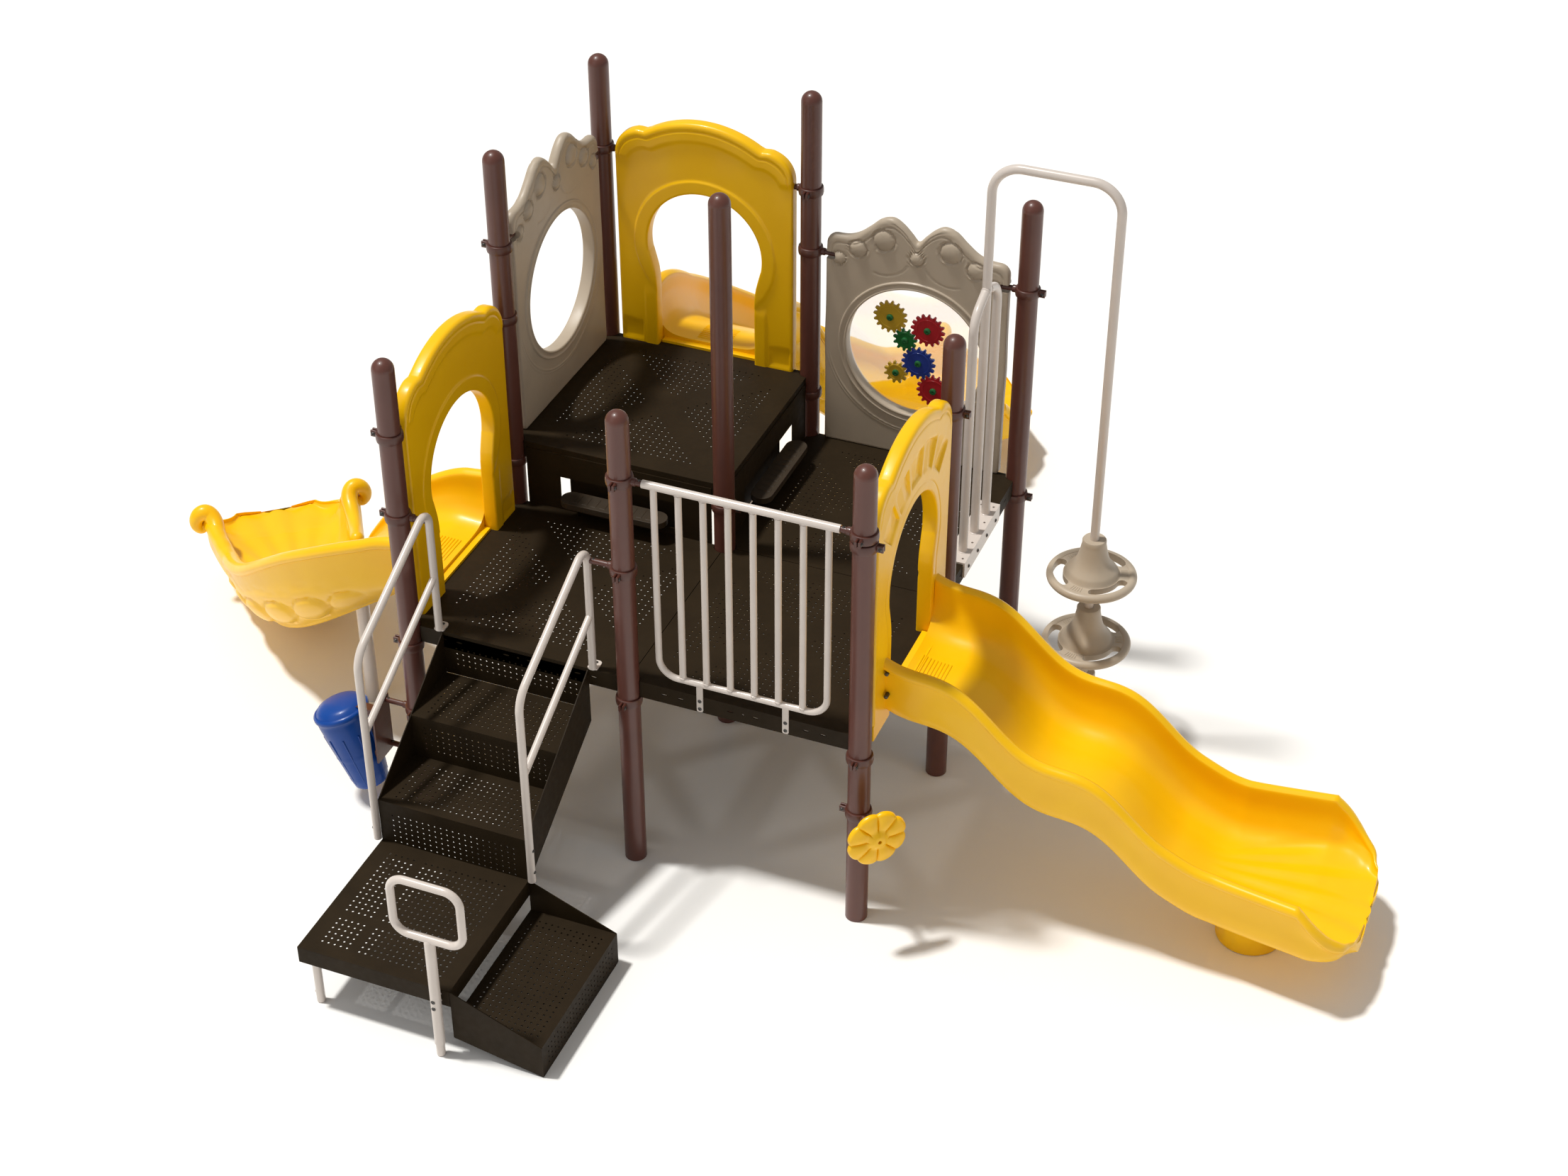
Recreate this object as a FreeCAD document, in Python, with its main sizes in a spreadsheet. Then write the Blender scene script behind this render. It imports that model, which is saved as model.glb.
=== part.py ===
import FreeCAD, Part
import math
import os
import re
import Sketcher
from FreeCAD import Placement, Rotation, Vector

# Modular play structure: posts on a three by three grid, four decks, three slides, stairs with a
# transfer platform, panels, a gear panel that turns, and a pod climber.
# Frame: millimetres, origin at the foot of the front left post, +X along the front row of posts
# towards the wave slide, +Y from the stairs to the back, +Z up. z = 0 is the surface it stands on.

doc = FreeCAD.newDocument("play_structure")
sheet = doc.addObject("Spreadsheet::Sheet", "Dims")

SIZES = (
    # posts and clamps
    ("bay", 968.0, "post pitch in both directions"),
    ("post_diameter", 88.9, "outside diameter of a post"),
    ("post_wall", 3.2, "wall of a post"),
    ("foot_plate", 6.0, "plate that closes the foot of a post"),
    ("post_low", 2151.0, "height of a short post with its cap"),
    ("post_middle", 2251.0, "height of the back right post with its cap"),
    ("post_tall", 2563.0, "height of a tall post with its cap"),
    ("cap_plug", 30.0, "depth of a cap's plug inside the post"),
    ("plug_gap", 0.2, "clearance round a cap's plug"),
    ("clamp_gap", 0.3, "clearance between a clamp ring and its post"),
    ("clamp_wall", 8.0, "wall of a clamp ring"),
    ("clamp_height", 38.0, "height of a clamp ring"),
    ("clamp_arm", 24.0, "side of a clamp arm's square section"),
    ("lug_length", 24.0, "how far a clamp lug stands out of its ring"),
    ("lug_width", 26.0, "width of a clamp lug"),
    ("lug_trim", 3.8, "how far a lug stands in from its ring's two faces"),
    ("clamp_bolt", 6.0, "radius of a clamp's bolt"),
    ("bolt_proud", 6.0, "how far a clamp's bolt stands out of its lug"),
    # decks
    ("deck_low", 914.4, "top of the three low decks"),
    ("deck_high", 1219.2, "top of the high deck"),
    ("deck_sheet", 4.0, "thickness of deck, stair and riser sheet"),
    ("deck_skirt", 77.0, "depth of a deck's folded skirt"),
    ("deck_gap", 1.5, "gap from a deck's edge to the post line"),
    ("notch_gap", 2.5, "clearance round a post in a deck's corner"),
    ("brace_length", 1100.0, "length of a deck stiffener"),
    ("brace_width", 60.0, "width of a deck stiffener"),
    ("brace_depth", 30.0, "depth of a deck stiffener"),
    # risers and step planks between low and high deck
    ("riser_gap", 5.25, "clearance between a riser's end and a clamp ring"),
    ("riser_lap", 50.0, "how far a riser laps over the high deck's skirt"),
    ("riser_open_width", 542.0, "width of the opening in a riser"),
    ("riser_open_height", 130.0, "height of the opening in a riser"),
    ("riser_open_rise", 35.0, "height of the opening above the low deck"),
    ("plank_length", 486.0, "length of a step plank"),
    ("plank_depth", 96.0, "depth of a step plank"),
    ("plank_thick", 28.0, "thickness of a step plank"),
    ("plank_rise", 106.0, "top of a step plank above the low deck"),
    ("bracket_lift", 12.0, "height of a plank's bracket above the low deck"),
    ("plank_leg", 60.0, "height and depth of a plank's bracket"),
    ("plank_leg_pitch", 340.0, "distance between a plank's brackets"),
    # moulded panels
    ("panel_thick", 58.0, "thickness of an arch panel"),
    ("arch_half", 411.0, "half width of an arch panel"),
    ("arch_side", 920.0, "height of an arch panel's straight side"),
    ("arch_bump", 1037.0, "height of an arch panel's corner bump"),
    ("arch_top", 1116.0, "height of an arch panel's crown"),
    ("arch_bump_at", 323.0, "distance of a corner bump from the middle"),
    ("arch_clamp_drop", 5.0, "top of an arch's clamps below its straight side's end"),
    ("arch_dip_at", 270.0, "where the crown starts beside the bump"),
    ("door_rise", 519.0, "height of a doorway's round centre"),
    ("door_radius", 268.0, "radius of a doorway's round part"),
    ("door_neck", 232.0, "half width of a doorway's neck"),
    ("panel_drop", 70.0, "how far the outer half of an arch panel hangs beside the deck"),
    ("beige_thick", 44.0, "thickness of a round window panel"),
    ("beige_half", 406.0, "half width of a round window panel"),
    ("beige_shoulder", 1022.0, "height of its shoulders"),
    ("beige_corner", 46.0, "radius of its shoulders' corners"),
    ("shoulder_share", 0.74, "share of the half width where a shoulder's flat ends"),
    ("shoulder_swell", 14.0, "bulge of the outline between a shoulder and a peak"),
    ("beige_peak", 1141.0, "height of its two peaks"),
    ("beige_peak_at", 116.0, "distance of a peak from the middle"),
    ("peak_side", 42.0, "distance outside a peak of the outline's next point"),
    ("peak_round", 12.0, "drop of the outline at that point"),
    ("beige_valley", 1049.0, "height of the valley between the peaks"),
    ("valley_share", 0.42, "share of the way to a peak of the point inside it"),
    ("valley_drop", 30.0, "drop of the outline at that point"),
    ("window_rise", 519.0, "height of the window's centre"),
    ("window_radius", 307.0, "radius of the window"),
    ("ring_width", 40.0, "width of the raised ring round the window"),
    ("ring_proud", 8.0, "how far the ring stands out of the face"),
    ("slot_rise", 919.0, "height of the side slots above the deck"),
    ("slot_depth", 46.0, "depth of a side slot"),
    ("slot_gap", 6.0, "clearance round a clamp arm in its slot"),
    # gear panel
    ("glass_thick", 6.0, "thickness of the clear window"),
    ("glass_seat", 12.0, "depth of the groove that holds the clear window"),
    ("glass_gap", 0.5, "clearance round the clear window in its groove"),
    ("glass_hole_gap", 0.4, "clearance of an axle in the clear window"),
    ("gear_module", 8.875, "pitch diameter divided by teeth"),
    ("teeth_large", 16.0, "teeth of a large gear"),
    ("teeth_small", 11.0, "teeth of a small gear"),
    ("gear_thick", 12.0, "thickness of a gear"),
    ("gear_lash", 0.9, "extra centre distance of two gears in mesh"),
    ("tooth_play", 1.2, "how much a tooth is thinner than its gap"),
    ("axle_radius", 8.0, "radius of a gear axle"),
    ("axle_inset", 0.5, "how far an axle's end stands behind its gear's front"),
    ("axle_fit", 0.06, "radial clearance of a gear on its axle"),
    ("collar_thick", 2.0, "spacer between window and gear"),
    ("collar_radius", 12.0, "radius of the spacer"),
    ("gear_float", 0.4, "end play of a gear"),
    ("nut_radius", 14.0, "radius of the nut behind the window"),
    ("nut_thick", 8.0, "thickness of the nut"),
    ("hub_radius", 15.0, "radius of a gear's hub cap"),
    ("hub_thick", 10.0, "height of a gear's hub cap"),
    # slides
    ("slide_half", 285.0, "half width between a slide's rail crests"),
    ("slide_wall", 225.0, "height of a rail crest above the bed"),
    ("slide_lip", 35.0, "width of a rolled rail"),
    ("slide_shell", 46.0, "thickness of a slide under its bed"),
    ("tongue_lap", 40.0, "how far the entry tongue runs into the slide"),
    ("tongue_rise", 12.0, "height of the entry tongue above the deck"),
    ("slide_entry", 251.0, "height of the rail crest above the deck at the entry"),
    ("tongue_half", 226.0, "half width of the entry tongue"),
    ("curve_radius", 1000.0, "centreline radius of a curved slide"),
    ("curve_turn", 50.0, "angle that a curved slide turns through"),
    ("left_lead", 290.0, "straight lead of the left slide"),
    ("left_tail", 450.0, "straight tail of the left slide"),
    ("back_lead", 420.0, "straight lead of the back slide"),
    ("back_tail", 550.0, "straight tail of the back slide"),
    ("exit_crest", 400.0, "height of a curved slide's rail at the exit"),
    ("bank", 60.0, "extra height of the outer rail in the curve"),
    ("wall_loss", 55.0, "how much a curved slide's wall loses in height by its exit"),
    ("belly", 190.0, "extra depth of a curved slide's moulded belly"),
    ("horn_ring", 54.0, "radius of the curl at a curved slide's exit"),
    ("horn_tube", 36.0, "radius of the curl's round section"),
    ("horn_web", 30.0, "thickness of the web inside the curl"),
    ("foot_radius", 150.0, "radius of a moulded slide foot at its top"),
    ("foot_under", 120.0, "top of a slide foot's cone below the rail crest"),
    ("foot_taper", 20.0, "how much a slide foot narrows to the ground"),
    ("wave_foot_at", 1455.0, "distance of the wave slide's foot from its entry"),
    ("wave_run", 1675.0, "length of the wave slide's rails along the ground"),
    ("wave_slope", 0.517, "fall of the wave slide for each unit of run"),
    ("wave_height", 40.0, "half height of a hump"),
    ("wave_length", 570.0, "distance from hump to hump"),
    ("wave_level", 505.0, "height of the rail crest in the run-out"),
    ("wave_blend", 18.0, "softness of the bend into the run-out"),
    ("wave_spread_from", 1335.0, "where the wave slide starts to widen"),
    ("exit_spread", 50.0, "how much a slide's half width grows at its exit"),
    ("leg_radius", 30.0, "radius of a slide leg"),
    ("left_leg_at", 520.0, "distance of the left slide's leg from its entry"),
    ("back_leg_at", 420.0, "distance of the back slide's first leg from its entry"),
    ("back_leg_pitch", 680.0, "distance between the back slide's legs"),
    # stairs, transfer platform and side step
    ("stair_left", 147.0, "left side of the stairs"),
    ("stair_width", 648.0, "width of the stairs"),
    ("stair_run", 300.0, "depth of a tread"),
    ("stair_rise", 203.2, "height of a riser"),
    ("stringer_cut", 263.0, "depth of a side plate at the deck"),
    ("stringer_nose", 60.0, "length of a side plate's steep bottom edge"),
    ("stringer_lift", 20.32, "height above the platform where that edge ends"),
    ("riser_seat", 12.0, "gap between the top riser's edge and the deck"),
    ("platform_depth", 662.0, "depth of the transfer platform"),
    ("side_step_width", 371.0, "width of the low side step"),
    ("side_step_top", 152.4, "height of the low side step"),
    ("side_plate_lift", 70.0, "height of a side plate's inner bottom corner"),
    ("leg_tube", 17.0, "radius of a platform leg"),
    ("leg_inset", 45.0, "distance of a platform leg from the skirt"),
    # round tube work
    ("rail_radius", 16.0, "radius of handrail and grab loop tube"),
    ("handrail_step", 8.0, "how far a handrail's post stands behind the post line"),
    ("handrail_lead", 5.0, "how far a handrail's lower leg stands before the stairs"),
    ("handrail_top", 605.6, "top of a handrail above the low deck"),
    ("handrail_bend", 291.6, "where a handrail turns down, above the low deck"),
    ("handrail_end", 604.4, "lower end of a handrail below the low deck"),
    ("top_bend", 52.0, "bend radius at a handrail's top"),
    ("low_bend", 110.0, "bend radius where a handrail turns down"),
    ("midrail_radius", 14.4, "radius of a mid-rail"),
    ("midrail_top", 260.6, "upper end of a mid-rail above the low deck"),
    ("midrail_end", 69.4, "lower end of a mid-rail below the low deck"),
    ("rail_foot_width", 44.0, "width of a handrail's foot plate"),
    ("rail_foot_depth", 56.0, "depth of a handrail's foot plate"),
    ("rail_foot_thick", 6.0, "thickness of a handrail's foot plate"),
    ("rail_clamp_height", 525.6, "height of the handrail clamps above the low deck"),
    ("grab_offset", 33.0, "distance of the grab post from the platform"),
    ("grab_post", 21.0, "radius of the grab loop's post"),
    ("grab_stub", 17.0, "radius of the post's lower stub"),
    ("grab_stub_height", 60.0, "height of the lower stub"),
    ("grab_at", 607.0, "distance of the grab post from the left of the platform"),
    ("grab_low", 285.2, "height of the loop's lower tube above the platform"),
    ("grab_high", 547.2, "height of the loop's upper tube above the platform"),
    ("grab_width", 284.0, "width of the loop"),
    ("grab_corner", 62.0, "corner radius of the loop"),
    ("grab_bolt", 7.0, "radius of the bolts that hold the grab post"),
    ("grab_bolt_high", 18.0, "depth of the upper bolt below the platform"),
    ("grab_bolt_low", 52.0, "depth of the lower bolt below the platform"),
    # barrier
    ("barrier_top", 939.6, "height of the barrier's top tube above the low deck"),
    ("barrier_low", 63.6, "height of the barrier's bottom tube above the low deck"),
    ("barrier_reach", 92.0, "distance of the top tube's ends from the posts"),
    ("barrier_tube", 16.5, "radius of the top tube"),
    ("baluster_radius", 13.5, "radius of a baluster"),
    ("baluster_pitch", 99.4, "distance between balusters"),
    ("barrier_corner", 80.0, "corner radius of the barrier's lower frame"),
    ("strap_width", 26.0, "width of a barrier strap"),
    ("strap_thick", 5.0, "thickness of a barrier strap"),
    ("strap_at", 179.0, "distance of a strap from the middle"),
    ("strap_lift", 5.0, "height of a strap's end above the skirt's lower edge"),
    # drum and flower
    ("drum_head", 120.0, "radius of the drum's head"),
    ("drum_foot", 74.0, "radius of the drum's lower end"),
    ("drum_height", 372.0, "height of the drum's shell"),
    ("drum_tilt", 17.9, "lean of the drum away from its post"),
    ("drum_x", -215.0, "drum's lower end from the post, along X"),
    ("drum_y", -75.0, "drum's lower end from the post, along Y"),
    ("drum_z", 85.0, "height of the drum's lower end"),
    ("backing_at", 150.0, "distance of the drum's backing plate from the post axis"),
    ("backing_thick", 8.0, "thickness of the backing plate"),
    ("backing_width", 130.0, "width of the backing plate"),
    ("backing_height", 282.0, "height of the backing plate"),
    ("backing_low", 219.0, "height of its lower edge"),
    ("backing_lead", 35.0, "how far the backing plate starts before the drum's axis"),
    ("saddle_width", 40.0, "width of a saddle between backing plate and drum"),
    ("saddle_height", 30.0, "height of a saddle"),
    ("drum_clamp_high", 480.0, "height of the drum's upper clamp"),
    ("drum_clamp_low", 250.0, "height of the drum's lower clamp"),
    ("flower_radius", 125.0, "radius of the flower disc"),
    ("flower_thick", 34.0, "thickness of the flower disc"),
    ("flower_wave", 11.0, "depth of the notches between its petals"),
    ("flower_reach", 176.0, "distance of the flower's centre from its post"),
    ("flower_height", 545.0, "height of the flower's centre"),
    ("flower_hole", 8.0, "radius of the hole in the flower's hub"),
    ("flower_hub", 30.0, "radius of the flower's hub"),
    ("flower_proud", 8.0, "how far the hub stands out of the flower's face"),
    ("flower_floor", 10.0, "thickness left behind the hole"),
    ("flower_arm", 13.0, "radius of the arm that holds the flower"),
    # pod climber
    ("climber_in", 31.0, "distance of the climber's tubes inside the deck's edge line"),
    ("climber_tube", 19.0, "radius of the climber's tubes"),
    ("climber_pitch", 150.0, "distance between the climber's uprights"),
    ("climber_reach", 520.0, "distance from the uprights to the hanging pole"),
    ("climber_height", 1721.6, "height of the climber's top tube above the low deck"),
    ("climber_bend", 120.0, "bend radius of the climber's pole"),
    ("loop_height", 1115.6, "height above the low deck where a side loop turns in"),
    ("loop_rise", 60.0, "how much a side loop rises on its way to the pole"),
    ("loop_bend", 100.0, "bend radius of a side loop"),
    ("flange_inset", 6.0, "height of the edge flange's end above the skirt's edge"),
    ("climber_plate", 8.0, "thickness of the climber's base plate"),
    ("plate_length", 470.0, "length of the climber's base plate"),
    ("plate_depth", 84.0, "depth of the climber's base plate"),
    ("pod_radius", 190.0, "radius of a pod's rim"),
    ("pod_rim", 24.0, "width of a pod's rim"),
    ("pod_thick", 40.0, "thickness of a pod's disc"),
    ("pod_edge", 10.0, "width of the chamfer round a pod's rim"),
    ("pod_web", 8.0, "distance of the hand slots from the hub"),
    ("pod_shoulder", 22.0, "height of the hub's first step above the disc"),
    ("pod_hub", 112.0, "radius of a pod's hub at the disc"),
    ("pod_neck", 48.0, "radius of a pod's neck"),
    ("pod_height", 185.0, "height of a pod's hub above the disc"),
    ("pod_low", 144.0, "height of the lowest pod's disc"),
    ("pod_pitch", 346.0, "distance between pods"),
    ("pod_fit", 0.3, "clearance of a pod round its pole"),
)

for row, (alias, number, note) in enumerate(SIZES, start=1):
    sheet.set(f"A{row}", alias)
    sheet.set(f"B{row}", str(number))
    sheet.setAlias(f"B{row}", alias)
    sheet.set(f"C{row}", note)
doc.recompute()

ALIASES = {alias for alias, _, _ in SIZES}
NODES = []
NORTH = Rotation(Vector(1, 0, 0), -90)     # a cylinder along +Y
EAST = Rotation(Vector(0, 1, 0), 90)       # a cylinder along +X


def size(alias):
    """The number that the sheet holds for an alias."""
    return float(sheet.get(alias))


def formula(text):
    """An expression over the sheet's aliases, written with their bare names."""
    return re.sub(r"[a-z]+(?:_[a-z]+)*", lambda m: "Dims." + m[0] if m[0] in ALIASES else m[0], text)


def bind(obj, **properties):
    for prop, text in properties.items():
        obj.setExpression(prop, formula(text))
    return obj


def put(obj, x="0", y="0", z="0", turn=None):
    """Bind an object's place; turn is its rotation."""
    if turn is not None:
        obj.Placement = Placement(Vector(), turn)
    for axis, text in zip("xyz", (x, y, z)):
        obj.setExpression(f"Placement.Base.{axis}", formula(text))
    return obj


def box(name, lengths, corner):
    obj = doc.addObject("Part::Box", name)
    bind(obj, Length=lengths[0], Width=lengths[1], Height=lengths[2])
    return put(obj, *corner)


def cylinder(name, radius, height, foot, turn=None):
    obj = doc.addObject("Part::Cylinder", name)
    bind(obj, Radius=radius, Height=height)
    return put(obj, *foot, turn=turn)


def cut(name, base, tool):
    obj = doc.addObject("Part::Cut", name)
    obj.Base, obj.Tool = base, tool
    return obj


def fuse(name, pieces):
    obj = doc.addObject("Part::MultiFuse", name)
    obj.Shapes = pieces
    return obj


def group(name, pieces):
    obj = doc.addObject("Part::Compound", name)
    obj.Links = pieces
    return obj


def feature(name, shape, place=None):
    obj = doc.addObject("Part::Feature", name)
    obj.Shape = shape
    if place is not None:
        obj.Placement = place
    return obj


def node(obj, label):
    """Name an object as a sub-part of the structure."""
    obj.Label = label
    NODES.append(obj)
    return obj


def grid(i, j):
    """Place of a post's axis as expressions; i counts along X and j along Y."""
    return f"{i} * bay", f"{j} * bay"


# ---------------------------------------------------------------- sketches

def body_sketch(body, name):
    """A sketch on the body's upright plane, which holds its X and Z axes."""
    sketch = body.newObject("Sketcher::SketchObject", name)
    plane = next(f for f in body.Origin.OriginFeatures if f.Role == "XZ_Plane")
    sketch.AttachmentSupport = [(plane, "")]
    sketch.MapMode = "FlatFace"
    return sketch


def polygon(sketch, corners):
    """Close straight sides through corners, each given as two expressions that are never negative."""
    first = sketch.GeometryCount
    count = len(corners)
    probe = [(evaluate(x), evaluate(y)) for x, y in corners]
    for k in range(count):
        start, end = probe[k], probe[(k + 1) % count]
        sketch.addGeometry(Part.LineSegment(Vector(*start, 0), Vector(*end, 0)))
    for k in range(count):
        after = first + (k + 1) % count
        sketch.addConstraint(Sketcher.Constraint("Coincident", first + k, 2, after, 1))
    for k, (x, y) in enumerate(corners):
        for kind, text, axis, number in (("DistanceX", x, -2, 0), ("DistanceY", y, -1, 1)):
            if text == "0":
                sketch.addConstraint(Sketcher.Constraint("PointOnObject", first + k, 1, axis))
            else:
                index = sketch.addConstraint(
                    Sketcher.Constraint(kind, -1, 1, first + k, 1, probe[k][number]))
                sketch.setExpression(f"Constraints[{index}]", formula(text))


def evaluate(text):
    """The value of an expression now, so that a sketch starts near its solved shape."""
    words = re.sub(r"[a-z]+(?:_[a-z]+)*", lambda m: repr(size(m[0])), text)
    total = FreeCAD.Units.Quantity(words)
    return total.Value


def plate(name, corners, holes, thickness):
    """A PartDesign body: an outline padded to a thickness with polygonal holes through it."""
    body = doc.addObject("PartDesign::Body", name)
    outline = body_sketch(body, name + "_outline")
    polygon(outline, corners)
    for hole in holes:
        polygon(outline, hole)
    pad = body.newObject("PartDesign::Pad", name + "_pad")
    pad.Profile = outline
    pad.setExpression("Length", formula(thickness))
    return body


def turned(name, corners):
    """A PartDesign body: a half section, right of the axis, revolved about the body's Z axis."""
    body = doc.addObject("PartDesign::Body", name)
    section = body_sketch(body, name + "_section")
    polygon(section, corners)
    revolve = body.newObject("PartDesign::Revolution", name + "_turned")
    revolve.Profile = section
    revolve.ReferenceAxis = (section, ["V_Axis"])
    revolve.Angle = 360
    return body


# ---------------------------------------------------------------- round tube

def bent_wire(points, bend):
    """Straight runs through points, joined by tangent arcs of radius bend (one, or one each)."""
    points = [Vector(*p) for p in points]
    bends = bend if isinstance(bend, (list, tuple)) else [bend] * (len(points) - 2)
    edges, start = [], points[0]
    for k, radius in enumerate(bends, start=1):
        before = (points[k - 1] - points[k]).normalize()
        after = (points[k + 1] - points[k]).normalize()
        half = before.getAngle(after) / 2
        reach = radius / math.tan(half)
        first, last = points[k] + before * reach, points[k] + after * reach
        middle = points[k] + (before + after).normalize() * (radius / math.sin(half) - radius)
        edges.append(Part.LineSegment(start, first).toShape())
        edges.append(Part.Arc(first, middle, last).toShape())
        start = last
    edges.append(Part.LineSegment(start, points[-1]).toShape())
    return Part.Wire(edges)


def tube(points, radius, bend):
    """A round bar along a bent wire."""
    spine = bent_wire(points, bend)
    first = Vector(*points[0])
    ring = Part.Wire(Part.makeCircle(radius, first, Vector(*points[1]) - first))
    return spine.makePipeShell([ring], True, True)


# ---------------------------------------------------------------- posts

POSTS = (
    ("front_left_post", 0, 0, "post_low"),
    ("front_middle_post", 1, 0, "post_low"),
    ("front_right_post", 2, 0, "post_low"),
    ("left_middle_post", 0, 1, "post_tall"),
    ("centre_post", 1, 1, "post_tall"),
    ("right_middle_post", 2, 1, "post_low"),
    ("back_left_post", 0, 2, "post_tall"),
    ("back_middle_post", 1, 2, "post_tall"),
    ("back_right_post", 2, 2, "post_middle"),
)


def make_post(label, i, j, height):
    x, y = grid(i, j)
    outside = cylinder(label + "_outside", "post_diameter / 2", f"{height} - post_diameter / 2", (x, y, "0"))
    bore = cylinder(label + "_bore", "post_diameter / 2 - post_wall", height, (x, y, "foot_plate"))
    node(cut(label, outside, bore), label)


def make_cap(label, i, j, height):
    x, y = grid(i, j)
    top = f"{height} - post_diameter / 2"
    dome = doc.addObject("Part::Sphere", label + "_dome")
    dome.Angle1, dome.Angle2, dome.Angle3 = 0, 90, 360
    bind(dome, Radius="post_diameter / 2")
    put(dome, x, y, top)
    plug = cylinder(label + "_plug", "post_diameter / 2 - post_wall - plug_gap", "cap_plug",
                    (x, y, top + " - cap_plug"))
    return fuse(label + "_cap", [dome, plug])


for post in POSTS:
    make_post(*post)
node(group("post_caps", [make_cap(*post) for post in POSTS]), "post_caps")

# ---------------------------------------------------------------- clamps

DIRECTIONS = {"east": (1, 0), "west": (-1, 0), "north": (0, 1), "south": (0, -1)}
POST_BORE = "(post_diameter / 2 + clamp_gap)"
RING_OUTSIDE = "(post_diameter / 2 + clamp_gap + clamp_wall)"
RING_MIDDLE = "(post_diameter / 2 + clamp_gap + clamp_wall / 2)"


def clamp_ring(name, i, j, height, lug):
    """A ring round a post with a bolted lug on one side, its top face at the given height."""
    x, y = grid(i, j)
    low = f"{height} - clamp_height"
    dx, dy = DIRECTIONS[lug]
    reach = f"{RING_OUTSIDE} + lug_length"
    bolt_out = f"({RING_OUTSIDE} + lug_length / 2)"
    side = "lug_width / 2 + bolt_proud"
    if dx:
        lengths = (reach, "lug_width", "clamp_height - 2 * lug_trim")
        corner = (x if dx > 0 else f"{x} - ({reach})", f"{y} - lug_width / 2", f"{low} + lug_trim")
        bolt_foot = (f"{x} + {dx} * {bolt_out}", f"{y} - ({side})", f"{low} + clamp_height / 2")
        along = NORTH
    else:
        lengths = ("lug_width", reach, "clamp_height - 2 * lug_trim")
        corner = (f"{x} - lug_width / 2", y if dy > 0 else f"{y} - ({reach})", f"{low} + lug_trim")
        bolt_foot = (f"{x} - ({side})", f"{y} + {dy} * {bolt_out}", f"{low} + clamp_height / 2")
        along = EAST
    outer = cylinder(name + "_outer", RING_OUTSIDE, "clamp_height", (x, y, low))
    lump = box(name + "_lug", lengths, corner)
    bolt = cylinder(name + "_bolt", "clamp_bolt", "lug_width + 2 * bolt_proud", bolt_foot, along)
    whole = fuse(name + "_whole", [outer, lump, bolt])
    bore = cylinder(name + "_bore", POST_BORE, "clamp_height * 3", (x, y, f"{low} - clamp_height"))
    return cut(name, whole, bore)


def clamp_arm(name, i, j, height, way, reach, offset="0"):
    """A square arm from a clamp ring's side to a given distance from the post's axis."""
    x, y = grid(i, j)
    low = f"{height} - clamp_height / 2 - clamp_arm / 2"
    length = f"{reach} - {RING_MIDDLE}"
    dx, dy = DIRECTIONS[way]
    if dx:
        start = f"{x} + {RING_MIDDLE}" if dx > 0 else f"{x} - ({reach})"
        return box(name, (length, "clamp_arm", "clamp_arm"), (start, f"{y} - clamp_arm / 2 + {offset}", low))
    start = f"{y} + {RING_MIDDLE}" if dy > 0 else f"{y} - ({reach})"
    corner = (f"{x} - clamp_arm / 2 + {offset}", start, low)
    return box(name, ("clamp_arm", length, "clamp_arm"), corner)


def armed_clamp(name, i, j, height, lug, ways):
    """A clamp ring with arms; ways lists (direction, reach, offset)."""
    ring = clamp_ring(name + "_ring", i, j, height, lug)
    arms = [clamp_arm(f"{name}_arm_{k}", i, j, height, *way) for k, way in enumerate(ways)]
    return fuse(name, [ring] + arms)


COLLARS = (
    (0, 0, "deck_low", "west"), (1, 0, "deck_low", "south"), (2, 0, "deck_low", "south"),
    (0, 1, "deck_low", "west"), (1, 1, "deck_low", "east"), (2, 1, "deck_low", "east"),
    (1, 2, "deck_low", "north"), (2, 2, "deck_low", "east"),
    (0, 1, "deck_high", "west"), (1, 1, "deck_high", "east"), (0, 2, "deck_high", "west"),
    (1, 2, "deck_high", "north"),
)
collars = [clamp_ring(f"collar_{k}", i, j, f"{deck} - deck_skirt", lug)
           for k, (i, j, deck, lug) in enumerate(COLLARS)]
node(group("deck_collars", collars), "deck_collars")

PANEL_EDGE = "bay / 2 - arch_half"
SLOT_END = "bay / 2 - beige_half + slot_depth - slot_gap"
ARCH_CLAMP = "arch_side - arch_clamp_drop"
SLOT_CLAMP = "slot_rise + clamp_height / 2"


def panel_clamp_set():
    low_arch, high_arch = f"deck_low + {ARCH_CLAMP}", f"deck_high + {ARCH_CLAMP}"
    low_slot, high_slot = f"deck_low + {SLOT_CLAMP}", f"deck_high + {SLOT_CLAMP}"
    rows = (
        ("left_arch_near", 0, 0, low_arch, "west", (("north", PANEL_EDGE),)),
        ("left_arch_far", 0, 1, low_arch, "west", (("south", PANEL_EDGE),)),
        ("right_arch_near", 2, 0, low_arch, "east", (("north", PANEL_EDGE),)),
        ("right_arch_far", 2, 1, low_arch, "east", (("south", PANEL_EDGE),)),
        ("back_left_corner", 0, 2, high_slot, "west", (("east", PANEL_EDGE), ("south", SLOT_END))),
        ("back_arch_right", 1, 2, high_arch, "south", (("west", PANEL_EDGE),)),
        ("left_window_near", 0, 1, high_slot, "west", (("north", SLOT_END),)),
        ("gear_panel_left", 1, 2, low_slot, "north", (("east", SLOT_END),)),
        ("gear_panel_right", 2, 2, low_slot, "east", (("west", SLOT_END),)),
    )
    return [armed_clamp(*row) for row in rows]


node(group("panel_clamps", panel_clamp_set()), "panel_clamps")

# ---------------------------------------------------------------- decks

DECKS = (
    ("front_left_deck", 0, 0, "deck_low"),
    ("front_right_deck", 1, 0, "deck_low"),
    ("back_right_deck", 1, 1, "deck_low"),
    ("high_deck", 0, 1, "deck_high"),
)


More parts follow.
